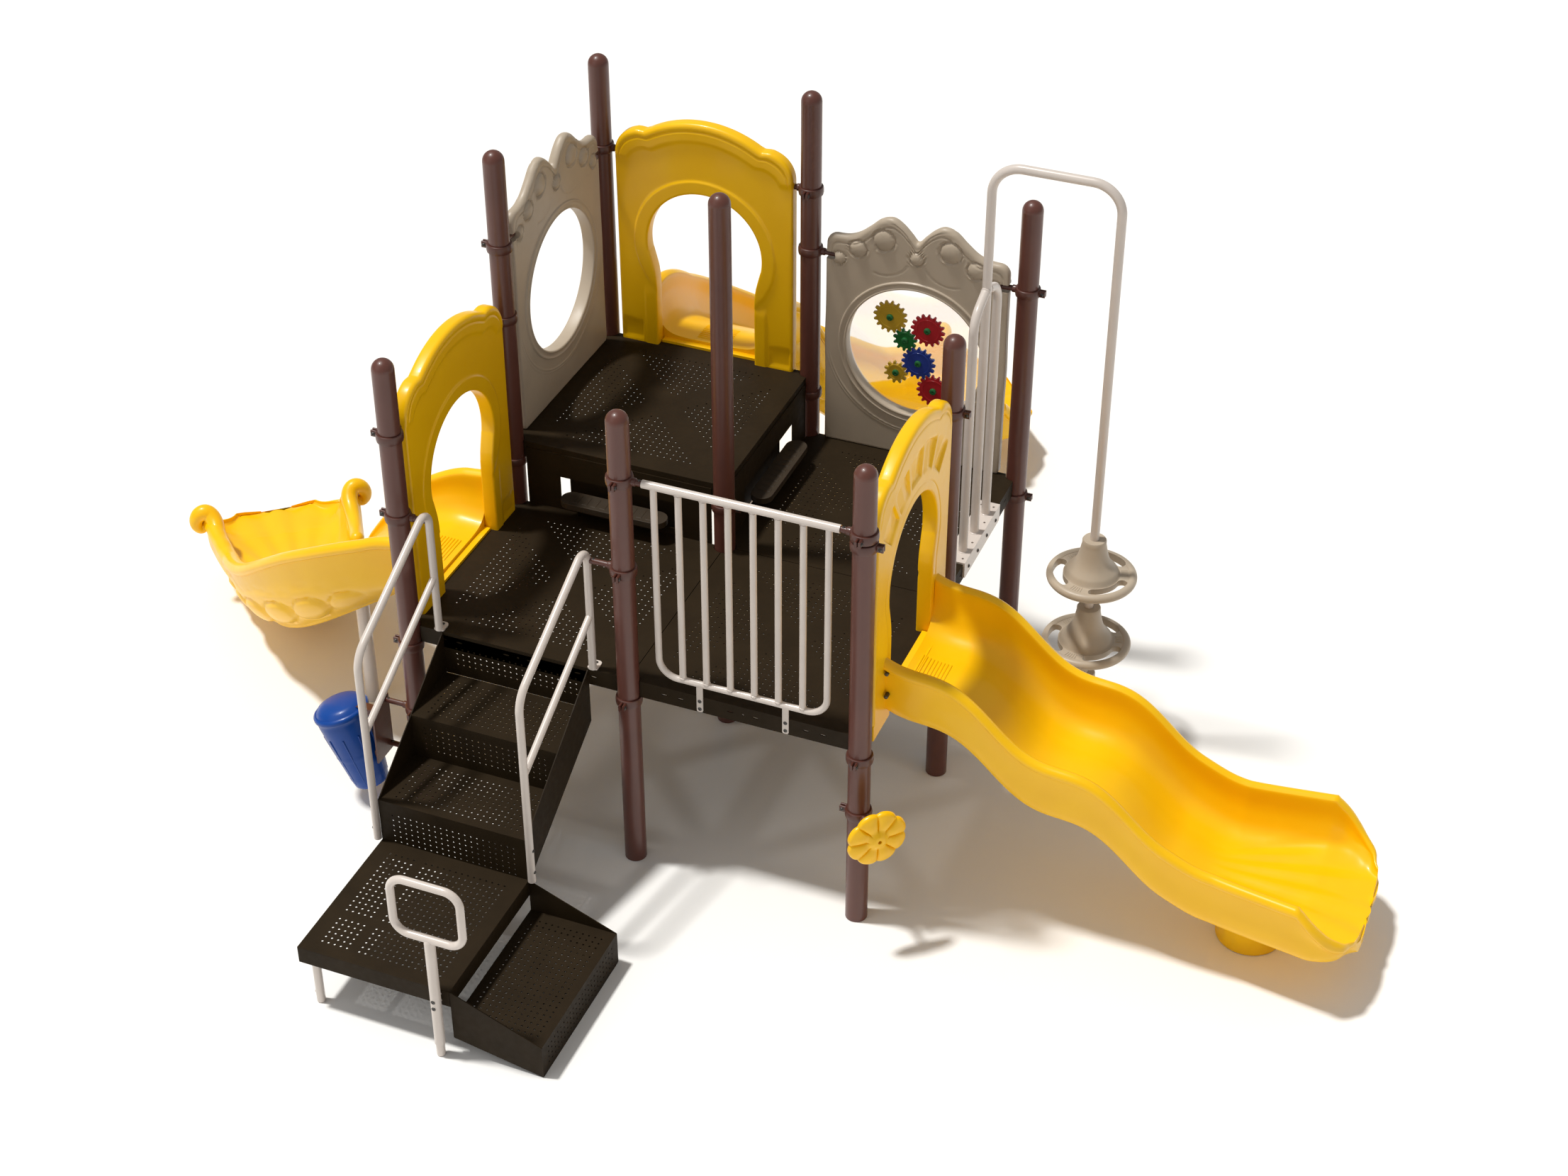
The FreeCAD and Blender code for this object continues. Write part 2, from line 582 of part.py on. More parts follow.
def deck_block(name, i, j, low, height, inset, notch):
    """A square block between four posts with its corners notched round them."""
    x, y = grid(i, j)
    side = f"bay - 2 * deck_gap - 2 * ({inset})"
    start = f"deck_gap + {inset}"
    block = box(name + "_block", (side, side, height), (f"{x} + {start}", f"{y} + {start}", low))
    corners = [cylinder(f"{name}_corner_{a}{b}", notch, f"{height} + 2", (*grid(i + a, j + b), f"{low} - 1"))
               for a in (0, 1) for b in (0, 1)]
    return cut(name, block, fuse(name + "_corners", corners))


def make_deck(label, i, j, top):
    notch = "post_diameter / 2 + notch_gap"
    outside = deck_block(label + "_outside", i, j, f"{top} - deck_skirt", "deck_skirt", "0", notch)
    inside = deck_block(label + "_inside", i, j, f"{top} - deck_skirt - 1", "deck_skirt + 1 - deck_sheet",
                        "deck_sheet", notch + " + deck_sheet")
    node(cut(label, outside, inside), label)


def make_brace(label, i, j, top):
    """Two crossed stiffeners under a deck's sheet."""
    along = box(label + "_along", ("brace_length", "brace_width", "brace_depth"),
                ("-brace_length / 2", "-brace_width / 2", "0"))
    across = box(label + "_across", ("brace_width", "brace_length", "brace_depth"),
                 ("-brace_width / 2", "-brace_length / 2", "0"))
    cross = fuse(label + "_cross", [along, across])
    return put(cross, f"{i + 0.5} * bay", f"{j + 0.5} * bay", f"{top} - deck_sheet - brace_depth",
               turn=Rotation(Vector(0, 0, 1), 45))


for deck in DECKS:
    make_deck(*deck)
node(group("deck_stiffeners", [make_brace(*deck) for deck in DECKS]), "deck_stiffeners")

# ---------------------------------------------------------------- risers and step planks

RISER_HEIGHT = "deck_high - deck_skirt + riser_lap - deck_low"
RISER_END = f"({RING_OUTSIDE} + riser_gap)"
RISER_WIDTH = f"(bay - 2 * {RISER_END})"


def make_riser(label, place):
    """Sheet from the low deck up over the high deck's skirt, with a rectangular opening."""
    left = f"({RISER_WIDTH} - riser_open_width) / 2"
    right = f"({RISER_WIDTH} + riser_open_width) / 2"
    top = "riser_open_rise + riser_open_height"
    outline = (("0", "0"), (RISER_WIDTH, "0"), (RISER_WIDTH, RISER_HEIGHT), ("0", RISER_HEIGHT))
    opening = ((left, "riser_open_rise"), (right, "riser_open_rise"), (right, top), (left, top))
    body = plate(label, outline, (opening,), "deck_sheet")
    node(put(body, **place), label)


make_riser("front_riser", {"x": RISER_END, "y": "bay + deck_gap", "z": "deck_low"})
make_riser("side_riser", {"x": "bay - deck_gap", "y": f"bay + {RISER_END}", "z": "deck_low",
                          "turn": Rotation(Vector(0, 0, 1), 90)})


def make_plank(name):
    """A round-ended step plank on two brackets; its back edge is on the local XZ plane."""
    radius = "plank_depth / 2"
    straight = box(name + "_straight", ("plank_length - plank_depth", "plank_depth", "plank_thick"),
                   ("-(plank_length - plank_depth) / 2", "-plank_depth", "plank_rise - plank_thick"))
    low = "plank_rise - plank_thick"
    ends = [cylinder(f"{name}_end_{k}", radius, "plank_thick",
                     (f"{s} * (plank_length - plank_depth) / 2", "-plank_depth / 2", low))
            for k, s in enumerate((-1, 1))]
    legs = [box(f"{name}_leg_{k}", ("deck_sheet", "plank_leg", "plank_rise - plank_thick - bracket_lift"),
                (f"{s} * plank_leg_pitch / 2", "-plank_leg", "bracket_lift"))
            for k, s in enumerate((-1, 1))]
    return fuse(name, [straight] + ends + legs)


planks = [
    put(make_plank("front_plank"), "bay / 2", "bay + deck_gap - deck_sheet", "deck_low"),
    put(make_plank("side_plank"), "bay - deck_gap + deck_sheet", "bay * 1.5", "deck_low",
        turn=Rotation(Vector(0, 0, 1), 90)),
]
node(group("step_planks", planks), "step_planks")

# ---------------------------------------------------------------- moulded panels


def arc(a, b, c):
    return Part.Arc(Vector(a[0], 0, a[1]), Vector(b[0], 0, b[1]), Vector(c[0], 0, c[1])).toShape()


def line(a, b):
    return Part.LineSegment(Vector(a[0], 0, a[1]), Vector(b[0], 0, b[1])).toShape()


def slab(edges, thickness):
    """Extrude a closed outline in the local XZ plane, centred on that plane."""
    face = Part.Face(Part.Wire(Part.__sortEdges__(edges)))
    face.translate(Vector(0, -thickness / 2, 0))
    return face.extrude(Vector(0, thickness, 0))


def arch_panel():
    """Keyhole arch: middle of its sill at the origin, its inner face towards -Y."""
    half, side = size("arch_half"), size("arch_side")
    bump, bump_at = size("arch_bump"), size("arch_bump_at")
    top, dip_at = size("arch_top"), size("arch_dip_at")
    rise_up, run_in = bump - side, half - bump_at
    round_off = (rise_up ** 2 + run_in ** 2) / (2 * run_in)
    sweep = math.atan2(rise_up, round_off - run_in) / 2
    shoulder = (half - round_off * (1 - math.cos(sweep)), side + round_off * math.sin(sweep))
    edges = [line((-half, 0), (half, 0)), line((half, 0), (half, side)),
             arc((half, side), shoulder, (bump_at, bump)), line((bump_at, bump), (dip_at, bump)),
             arc((dip_at, bump), (0, top), (-dip_at, bump)), line((-dip_at, bump), (-bump_at, bump)),
             arc((-bump_at, bump), (-shoulder[0], shoulder[1]), (-half, side)),
             line((-half, side), (-half, 0))]
    thick = size("panel_thick")
    panel = slab(edges, thick)
    gap = size("deck_gap")
    skirt = Part.makeBox(2 * half, thick / 2 - gap, size("panel_drop"),
                         Vector(-half, gap, -size("panel_drop")))
    panel = panel.fuse(skirt)
    rise, radius, neck = size("door_rise"), size("door_radius"), size("door_neck")
    north = Vector(0, 1, 0)
    hole = Part.makeCylinder(radius, 2 * thick, Vector(0, -thick, rise), north)
    drop = 2 * size("panel_drop")
    hole = hole.fuse(Part.makeBox(2 * neck, 2 * thick, rise + drop, Vector(-neck, -thick, -drop)))
    return panel.cut(hole).removeSplitter()


def window_panel():
    """Twin-peaked panel with a round window, middle of its sill at the origin."""
    half, shoulder = size("beige_half"), size("beige_shoulder")
    peak, peak_at, valley = size("beige_peak"), size("beige_peak_at"), size("beige_valley")
    corner, swell = size("beige_corner"), size("shoulder_swell")
    flat_end = half * size("shoulder_share")
    rise_mid, middle = (flat_end + peak_at) / 2, (shoulder + peak) / 2
    outside = (peak_at + size("peak_side"), peak - size("peak_round"))
    inside = (peak_at * size("valley_share"), peak - size("valley_drop"))
    quarter = corner * (1 - math.sqrt(0.5))
    edges = [line((-half, 0), (half, 0)), line((half, 0), (half, shoulder - corner)),
             arc((half, shoulder - corner), (half - quarter, shoulder - quarter),
                 (half - corner, shoulder)),
             line((half - corner, shoulder), (flat_end, shoulder))]
    for sign in (1, -1):
        edges += [arc((sign * flat_end, shoulder), (sign * (flat_end + rise_mid) / 2, shoulder + swell),
                      (sign * rise_mid, middle)),
                  arc((sign * rise_mid, middle), (sign * outside[0], outside[1]), (sign * peak_at, peak)),
                  arc((sign * peak_at, peak), (sign * inside[0], inside[1]), (0, valley))]
    edges += [line((-flat_end, shoulder), (corner - half, shoulder)),
              arc((corner - half, shoulder), (quarter - half, shoulder - quarter),
                  (-half, shoulder - corner)),
              line((-half, shoulder - corner), (-half, 0))]
    thick = size("beige_thick")
    panel = slab(edges, thick)
    rise, radius, proud = size("window_rise"), size("window_radius"), size("ring_proud")
    north, deep = Vector(0, 1, 0), thick + 2 * proud
    ring = Part.makeCylinder(radius + size("ring_width"), deep, Vector(0, -deep / 2, rise), north)
    panel = panel.fuse(ring).cut(Part.makeCylinder(radius, 2 * deep, Vector(0, -deep, rise), north))
    depth, tall = size("slot_depth"), size("clamp_arm") + 2 * size("slot_gap")
    for sign in (1, -1):
        edge = half - depth if sign > 0 else -half - 1
        slot = Part.makeBox(depth + 1, 2 * thick, tall, Vector(edge, -thick, size("slot_rise") - tall / 2))
        panel = panel.cut(slot)
    return panel.removeSplitter()


TURN_EAST = Rotation(Vector(0, 0, 1), -90)   # the panel's outer face looks along +X
TURN_WEST = Rotation(Vector(0, 0, 1), 90)    # the panel's outer face looks along -X
NO_TURN = Rotation()


def wall_place(i, j, deck, turn):
    bay = size("bay")
    return Placement(Vector(i * bay, j * bay, size(deck)), turn)


def wall_node(label, shape, place):
    node(feature(label, shape, place), label)


wall_node("left_arch_panel", arch_panel(), wall_place(0, 0.5, "deck_low", TURN_WEST))
wall_node("right_arch_panel", arch_panel(), wall_place(2, 0.5, "deck_low", TURN_EAST))
wall_node("back_arch_panel", arch_panel(), wall_place(0.5, 2, "deck_high", NO_TURN))
wall_node("round_window_panel", window_panel(), wall_place(0, 1.5, "deck_high", TURN_WEST))


def gear_panel():
    """The round window panel with a groove that holds the clear window."""
    thick, rise = size("glass_thick"), size("window_rise")
    radius = size("window_radius") + size("glass_seat")
    groove = Part.makeCylinder(radius, thick, Vector(0, -thick / 2, rise), Vector(0, 1, 0))
    return window_panel().cut(groove)


wall_node("gear_panel", gear_panel(), wall_place(1.5, 2, "deck_low", NO_TURN))

# ---------------------------------------------------------------- gears

# Each gear: name, teeth, the gear it meshes with, and the direction from that gear in degrees
# (0 is +X and 90 is up). The blue gear leads the train and sits at a stated place.
BLUE_AT = (21.0, -46.0)
PRESSURE_ANGLE = 25.0
TIP_HEIGHT, ROOT_DEPTH = 0.68, 0.92    # of a tooth, in modules from the pitch circle
ROOT_FLARE = 0.02                      # radians that a tooth widens below its involute
FLANK_POINTS = 5
GEARS = (
    ("blue_gear", "teeth_large", None, 0.0),
    ("green_gear", "teeth_small", "blue_gear", 121.8),
    ("upper_yellow_gear", "teeth_large", "green_gear", 125.1),
    ("upper_red_gear", "teeth_large", "green_gear", 33.6),
    ("lower_yellow_gear", "teeth_small", "blue_gear", 213.2),
    ("lower_red_gear", "teeth_large", "blue_gear", 300.3),
)


def gear_outline(teeth):
    """Involute tooth outline in the XZ plane with the first tooth along +X."""
    module = size("gear_module")
    pitch = module * teeth / 2
    pressure = math.radians(PRESSURE_ANGLE)
    base = pitch * math.cos(pressure)
    tip, root = pitch + TIP_HEIGHT * module, pitch - ROOT_DEPTH * module
    half = (math.pi * pitch / teeth - size("tooth_play")) / 2 / pitch

    def flank(radius):
        angle = math.acos(min(1.0, base / radius))
        return half + (math.tan(pressure) - pressure) - (math.tan(angle) - angle)

    low = max(base, root)
    radii = [low + (tip - low) * k / (FLANK_POINTS - 1) for k in range(FLANK_POINTS)]
    points = []
    for tooth in range(teeth):
        middle = 2 * math.pi * tooth / teeth
        right = [(radius, middle - flank(radius)) for radius in radii]
        left = [(radius, middle + flank(radius)) for radius in reversed(radii)]
        if root < low:
            right.insert(0, (root, right[0][1] - ROOT_FLARE))
            left.append((root, left[-1][1] + ROOT_FLARE))
        points += right + left
    corners = [Vector(r * math.cos(a), 0, r * math.sin(a)) for r, a in points]
    return Part.makePolygon(corners + corners[:1])


def gear_layout():
    """Centre and angle of each gear, in mesh: teeth of one stand in the gaps of the other."""
    layout = {}
    for name, teeth_alias, mate, way in GEARS:
        teeth = int(size(teeth_alias))
        if mate is None:
            layout[name] = (teeth, *BLUE_AT, 0.0)
            continue
        mate_teeth, x, z, mate_angle = layout[mate]
        way = math.radians(way)
        distance = size("gear_module") * (teeth + mate_teeth) / 2 + size("gear_lash")
        share = mate_teeth * (way - mate_angle) / (2 * math.pi)
        angle = way + math.pi - 2 * math.pi * (0.5 - share) / teeth
        layout[name] = (teeth, x + distance * math.cos(way), z + distance * math.sin(way), angle)
    return layout


LAYOUT = gear_layout()
BACK_LINE = 2 * size("bay")
GLASS_FRONT = BACK_LINE - size("glass_thick") / 2
GEAR_BACK = GLASS_FRONT - size("collar_thick") - size("gear_float")
GEAR_FRONT = GEAR_BACK - size("gear_thick")
WINDOW_CENTRE = Vector(1.5 * size("bay"), BACK_LINE, size("deck_low") + size("window_rise"))
AXIS_NORTH = Vector(0, 1, 0)


def axle_point(name, y):
    _, x, z, _ = LAYOUT[name]
    return Vector(WINDOW_CENTRE.x + x, y, WINDOW_CENTRE.z + z)


def make_gear(name):
    teeth, _, _, angle = LAYOUT[name]
    face = Part.Face(Part.Wire(gear_outline(teeth)))
    bore = Part.makeCylinder(size("axle_radius") + size("axle_fit"), 3 * size("gear_thick"),
                             Vector(0, -size("gear_thick"), 0), AXIS_NORTH)
    wheel = face.extrude(Vector(0, size("gear_thick"), 0)).cut(bore)
    turn = Rotation(Vector(0, 1, 0), -math.degrees(angle))
    node(feature(name, wheel, Placement(axle_point(name, GEAR_FRONT), turn)), name)


HUB_ROUND = 0.45    # share of a hub cap's height that its edge is rounded
SAME_PLACE = 0.1


def make_hub(name):
    """A domed cap on the front of a gear."""
    label = name.replace("_gear", "_hub")
    radius, height = size("hub_radius"), size("hub_thick")
    disc = Part.makeCylinder(radius, height, Vector(0, -height, 0), AXIS_NORTH)
    rim = disc.Edges
    front = [e for e in rim if len(e.Vertexes) == 1 and abs(e.CenterOfMass.y + height) < SAME_PLACE]
    cap = disc.makeFillet(height * HUB_ROUND, front)
    node(feature(label, cap, Placement(axle_point(name, GEAR_FRONT), Rotation())), label)


def make_axle(name):
    """Shaft with a spacer collar before the window and a nut behind it."""
    front, glass_back = GEAR_FRONT + size("axle_inset"), GLASS_FRONT + size("glass_thick")
    length = glass_back + size("nut_thick") - front
    shaft = Part.makeCylinder(size("axle_radius"), length, axle_point(name, front), AXIS_NORTH)
    collar = Part.makeCylinder(size("collar_radius"), size("collar_thick"),
                               axle_point(name, GLASS_FRONT - size("collar_thick")), AXIS_NORTH)
    nut = Part.makeCylinder(size("nut_radius"), size("nut_thick"), axle_point(name, glass_back), AXIS_NORTH)
    return shaft.fuse([collar, nut]).removeSplitter()


for gear in LAYOUT:
    make_gear(gear)
    make_hub(gear)
node(feature("gear_axles", Part.Compound([make_axle(gear) for gear in LAYOUT])), "gear_axles")


def clear_window():
    """Round sheet in the gear panel's groove with a hole for each axle."""
    thick = size("glass_thick")
    radius = size("window_radius") + size("glass_seat") - size("glass_gap")
    sheet_front = Vector(WINDOW_CENTRE.x, GLASS_FRONT, WINDOW_CENTRE.z)
    pane = Part.makeCylinder(radius, thick, sheet_front, AXIS_NORTH)
    for gear in LAYOUT:
        pane = pane.cut(Part.makeCylinder(size("axle_radius") + size("glass_hole_gap"), 3 * thick,
                                          axle_point(gear, GLASS_FRONT - thick), AXIS_NORTH))
    return pane


node(feature("clear_window", clear_window()), "clear_window")

# ---------------------------------------------------------------- slides


# Inside of a chute's wall: distance in from the crest, share of the wall's height
WALL_CURVE = ((0.0, 0.99), (9.0, 0.88), (22.0, 0.42), (50.0, 0.16), (95.0, 0.03), (165.0, 0.0))
# Outside of the rolled rail: share of the rail's width, drop as a share of the wall's height
RAIL_CURVE = ((1.0, 0.34), (1.0, 0.09), (0.55, 0.0))
# Underside: distance in from the crest, share of the keel's depth
KEEL_CURVE = ((70.0, 0.55), (170.0, 1.0))
FLARE, FLARE_DROP = 4.0, 0.2    # where the underside starts: distance out, share of the shell


def slide_section(half, bed, left, right, keel):
    """Closed section of a chute across its path: u is to the left of travel, z is up."""
    lip, shell = size("slide_lip"), size("slide_shell")
    full = size("slide_half")
    narrow = min(1.0, half / full)
    rows = []
    for sign, crest in ((1, left), (-1, right)):
        wall = crest - bed
        rows.append([(sign * (half + lip * across), crest - wall * down)
                     for across, down in RAIL_CURVE]
                    + [(sign * (half - inward * narrow), bed + wall * up) for inward, up in WALL_CURVE])
    side = [(half + FLARE, bed - FLARE_DROP * shell)] + [
        (half - inward * narrow, bed - shell - keel * deep) for inward, deep in KEEL_CURVE]
    under = [(-u, z) for u, z in side] + side[::-1]
    return rows[0] + rows[1][::-1] + under


def station_wire(x, y, heading, half, bed, left, right, keel):
    points = [Vector(x - u * math.sin(heading), y + u * math.cos(heading), z)
              for u, z in slide_section(half, bed, left, right, keel)]
    return Part.makePolygon(points + points[:1])


def chute(stations):
    return Part.makeLoft([station_wire(*row) for row in stations], True, True)


# Lip of every chute: distance past the end of the rails, share of the half width, share of the wall
LIP = ((0.0, 1.0, 1.0), (60.0, 1.02, 0.74), (130.0, 0.95, 0.4), (190.0, 0.76, 0.16), (225.0, 0.5, 0.06))
LIP_FALL = 0.08         # fall of the bed for each unit past the end of the rails
STATION_GAP = 95.0      # longest distance between two sections of a chute


def wave_crest(run):
    """Height of the wave slide's rail crest: a slope with two humps and a level run-out."""
    start = size("deck_low") + size("slide_entry")
    humps = 2 * size("wave_length")
    swell = size("wave_height") * (1 - math.cos(2 * math.pi * min(run, humps) / size("wave_length")))
    fall = start - size("wave_slope") * run + swell - size("wave_level")
    return size("wave_level") + (fall + math.hypot(fall, 2 * size("wave_blend"))) / 2


def with_lip(place, length, half, bed, crest):
    """Stations of the rounded lip past the rails; place(run) gives x, y and heading."""
    rows = []
    for past, share, wall in LIP:
        x, y, heading = place(length + past)
        top = bed + (crest - bed) * wall
        rows.append((x, y, heading, half * share, bed - LIP_FALL * past, top, top, 0.0))
    return rows


def wave_slide():
    start = 2 * size("bay") + size("panel_thick") / 2
    middle, length = size("bay") / 2, size("wave_run")
    spread = size("wave_spread_from")

    def place(run):
        return start + run, middle, 0.0

    def half(run):
        return size("slide_half") + size("exit_spread") * max(0.0, run - spread) / (length - spread)

    rows = []
    count = math.ceil(length / STATION_GAP)
    for k in range(count):
        run = length * k / count
        crest = wave_crest(run)
        rows.append((*place(run), half(run), crest - size("slide_wall"), crest, crest, 0.0))
    crest = wave_crest(length)
    return chute(rows + with_lip(place, length, half(length), crest - size("slide_wall"), crest))


def curve_place(x, y, heading, lead, tail):
    """A path that runs straight, turns right on an arc and runs straight again."""
    radius, turn = size("curve_radius"), math.radians(size("curve_turn"))

    def place(run):
        px, py, way = x, y, heading
        first = min(run, lead)
        px, py = px + first * math.cos(way), py + first * math.sin(way)
        swept = min(max(run - lead, 0.0) / radius, turn)
        cx, cy = px + radius * math.sin(way), py - radius * math.cos(way)
        way -= swept
        px, py = cx - radius * math.sin(way), cy + radius * math.cos(way)
        rest = max(run - lead - radius * turn, 0.0)
        return px + rest * math.cos(way), py + rest * math.sin(way), way

    return place, lead + radius * turn + tail


LEVEL_RUN = 100.0       # length of a curved slide's level rail beside the deck
EARLY_FALL = 0.8        # below one, a curved slide falls sooner
SPREAD_FROM = 0.75      # share of a curved slide's length where it starts to widen
KEEL_FULLNESS = 0.7     # below one, the belly is fuller towards its ends
OUTER_RISE = 0.5        # share of the bank that the outer rail gains; the inner rail loses all of it


def curved_crest(run, length, deck):
    """Rail crest of a curved slide: level at the deck, then an easing fall to the exit."""
    start, end = size(deck) + size("slide_entry"), size("exit_crest")
    share = max(0.0, run - LEVEL_RUN) / (length - LEVEL_RUN)
    return start + (end - start) * math.sin(math.pi / 2 * share ** EARLY_FALL) ** 2


def curved_slide(place, length, deck):
    wall_loss, spread, rows = size("wall_loss"), size("exit_spread"), []
    count = math.ceil(length / STATION_GAP)
    for k in range(count):
        run = length * k / count
        share = run / length
        crest = curved_crest(run, length, deck)
        lean = size("bank") * math.sin(math.pi * share)
        bed = crest - size("slide_wall") + wall_loss * share
        half = size("slide_half") + spread * max(0.0, share - SPREAD_FROM) / (1 - SPREAD_FROM)
        keel = size("belly") * math.sin(math.pi * share) ** KEEL_FULLNESS
        rows.append((*place(run), half, bed, crest + OUTER_RISE * lean, crest - lean, keel))
    crest = size("exit_crest")
    half = size("slide_half") + spread
    bed = crest - size("slide_wall") + wall_loss
    solid = chute(rows + with_lip(place, length, half, bed, crest))
    across = half + size("slide_lip") / 2
    for side in (across, -across):
        solid = solid.fuse(horn(place(length - size("horn_tube")), side, crest))
    return solid


HORN_RISE = 0.4         # share of the curl's radius that its centre stands above the rail


def horn(at, across, crest):
    """The curl at the end of a rail, standing in the plane of travel."""
    x, y, heading = at
    left = Vector(-math.sin(heading), math.cos(heading), 0)
    centre = Vector(x, y, crest + HORN_RISE * size("horn_ring")) + left * across
    radius, web_thick = size("horn_ring"), size("horn_web")
    web = Part.makeCylinder(radius, web_thick, centre - left * (web_thick / 2), left)
    return Part.makeTorus(radius, size("horn_tube"), centre, left).fuse(web)


def tongue(x, y, heading, deck):
    """Entry plate from the slide back through the doorway to the deck."""
    back = size("panel_thick") / 2 + size("deck_gap")
    half, deep = size("tongue_half"), size("slide_shell")
    plate_box = Part.makeBox(back + size("tongue_lap"), 2 * half, deep + size("tongue_rise"),
                             Vector(-back, -half, size(deck) - deep))
    plate_box.Placement = Placement(Vector(x, y, 0), Rotation(Vector(0, 0, 1), math.degrees(heading)))
    return plate_box


def slide_node(label, solid, x, y, heading, deck):
    whole = solid.fuse(tongue(x, y, heading, deck)).removeSplitter()
    node(feature(label, whole), label)
    return whole


def support(shape, slide):
    """The part of a support that stands on the ground and stops under the slide."""
    return min(shape.cut(slide).Solids, key=lambda s: s.BoundBox.ZMin)


def foot_cone(x, y, height):
    top = size("foot_radius")
    return Part.makeCone(top - size("foot_taper"), top, height, Vector(x, y, 0))


FACE_OUT = size("panel_thick") / 2
HALF_BAY, TWO_BAYS = size("bay") / 2, 2 * size("bay")

wave_at = (TWO_BAYS + FACE_OUT, HALF_BAY, 0.0)
wave_shape = slide_node("wave_slide", wave_slide(), *wave_at, "deck_low")
wave_foot = foot_cone(wave_at[0] + size("wave_foot_at"), HALF_BAY,
                      wave_crest(size("wave_foot_at")) - size("foot_under"))
node(feature("wave_slide_foot", support(wave_foot, wave_shape)), "wave_slide_foot")


def make_curved(label, x, y, heading, lead, tail, deck, leg_runs):
    place, length = curve_place(x, y, heading, lead, tail)
    shape = slide_node(label, curved_slide(place, length, deck), x, y, heading, deck)
    legs = []
    for run in leg_runs:
        px, py, _ = place(run)
        high = curved_crest(run, length, deck) - size("slide_wall")
        legs.append(support(Part.makeCylinder(size("leg_radius"), high, Vector(px, py, 0)), shape))
    px, py, _ = place(length - size("foot_radius"))
    legs.append(support(foot_cone(px, py, size("exit_crest") - size("foot_under")), shape))
    node(feature(label + "_supports", Part.Compound(legs)), label + "_supports")


make_curved("left_slide", -FACE_OUT, HALF_BAY, math.pi, size("left_lead"), size("left_tail"), "deck_low",
            (size("left_leg_at"),))
make_curved("back_slide", HALF_BAY, TWO_BAYS + FACE_OUT, math.pi / 2, size("back_lead"),
            size("back_tail"), "deck_high",
            (size("back_leg_at"), size("back_leg_at") + size("back_leg_pitch")))

# ---------------------------------------------------------------- stairs and transfer platform

STAIR_RIGHT = "stair_left + stair_width"
PLATFORM_TOP = "deck_low - 3 * stair_rise"


def make_stairs():
    inner_left, inner_width = "stair_left + deck_sheet", "stair_width - 2 * deck_sheet"
    pieces = []
    for k in (1, 2):
        pieces.append(box(f"tread_{k}", (inner_width, "stair_run", "deck_sheet"),
                          (inner_left, f"-{k} * stair_run", f"deck_low - {k} * stair_rise - deck_sheet")))
    pieces.append(box("riser_1", (inner_width, "deck_sheet", "stair_rise - riser_seat"),
                      (inner_left, "deck_gap - deck_sheet", "deck_low - stair_rise - deck_sheet")))
    pieces.append(box("riser_2", (inner_width, "deck_sheet", "stair_rise"),
                      (inner_left, "-stair_run", "deck_low - 2 * stair_rise - deck_sheet")))
    pieces.append(box("riser_3", (inner_width, "deck_sheet", "stair_rise + deck_skirt"),
                      (inner_left, "-2 * stair_run", f"{PLATFORM_TOP} - deck_skirt")))
    back = "2 * stair_run + deck_gap"
    outline = (("0", f"{PLATFORM_TOP} - deck_skirt"), ("stringer_nose", f"{PLATFORM_TOP} + stringer_lift"),
               (back, "deck_low - stringer_cut"), (back, "deck_low"), ("0", "deck_low - 2 * stair_rise"))
    for k, x in enumerate(("stair_left", f"{STAIR_RIGHT} - deck_sheet")):
        side = plate(f"stringer_{k}", outline, (), "deck_sheet")
        pieces.append(put(side, x, "-2 * stair_run", "0", turn=Rotation(Vector(0, 0, 1), 90)))
    node(fuse("stair_flight", pieces), "stair_flight")


def make_platform():
    front = "-2 * stair_run - platform_depth"
    outside = box("platform_outside", ("stair_width", "platform_depth", "deck_skirt"),
                  ("stair_left", front, f"{PLATFORM_TOP} - deck_skirt"))
    inside = box("platform_inside",
                 ("stair_width - 2 * deck_sheet", "platform_depth - 2 * deck_sheet", "deck_skirt"),
                 ("stair_left + deck_sheet", front + " + deck_sheet",
                  f"{PLATFORM_TOP} - deck_skirt - deck_sheet"))
    node(cut("transfer_platform", outside, inside), "transfer_platform")
    legs = [cylinder(f"platform_leg_{k}", "leg_tube", f"{PLATFORM_TOP} - deck_sheet",
                     ("stair_left + leg_inset", y, "0"))
            for k, y in enumerate((front + " + leg_inset", "-2 * stair_run - leg_inset"))]
    node(group("platform_legs", legs), "platform_legs")


def make_side_step():
    front = "-2 * stair_run - platform_depth"
    outer = f"{STAIR_RIGHT} + side_step_width - deck_sheet"
    pieces = [
        box("side_tread", ("side_step_width", "platform_depth", "deck_sheet"),
            (STAIR_RIGHT, front, "side_step_top - deck_sheet")),
        box("side_riser", ("deck_sheet", "platform_depth", "side_step_top"), (outer, front, "0")),
    ]
    outline = (("0", "side_plate_lift"), ("side_step_width", "0"), ("side_step_width", "side_step_top"),
               ("0", PLATFORM_TOP))
    for k, y in enumerate((front + " + deck_sheet", "-2 * stair_run")):
        pieces.append(put(plate(f"side_plate_{k}", outline, (), "deck_sheet"), STAIR_RIGHT, y, "0"))
    node(fuse("side_step", pieces), "side_step")


make_stairs()
make_platform()
make_side_step()


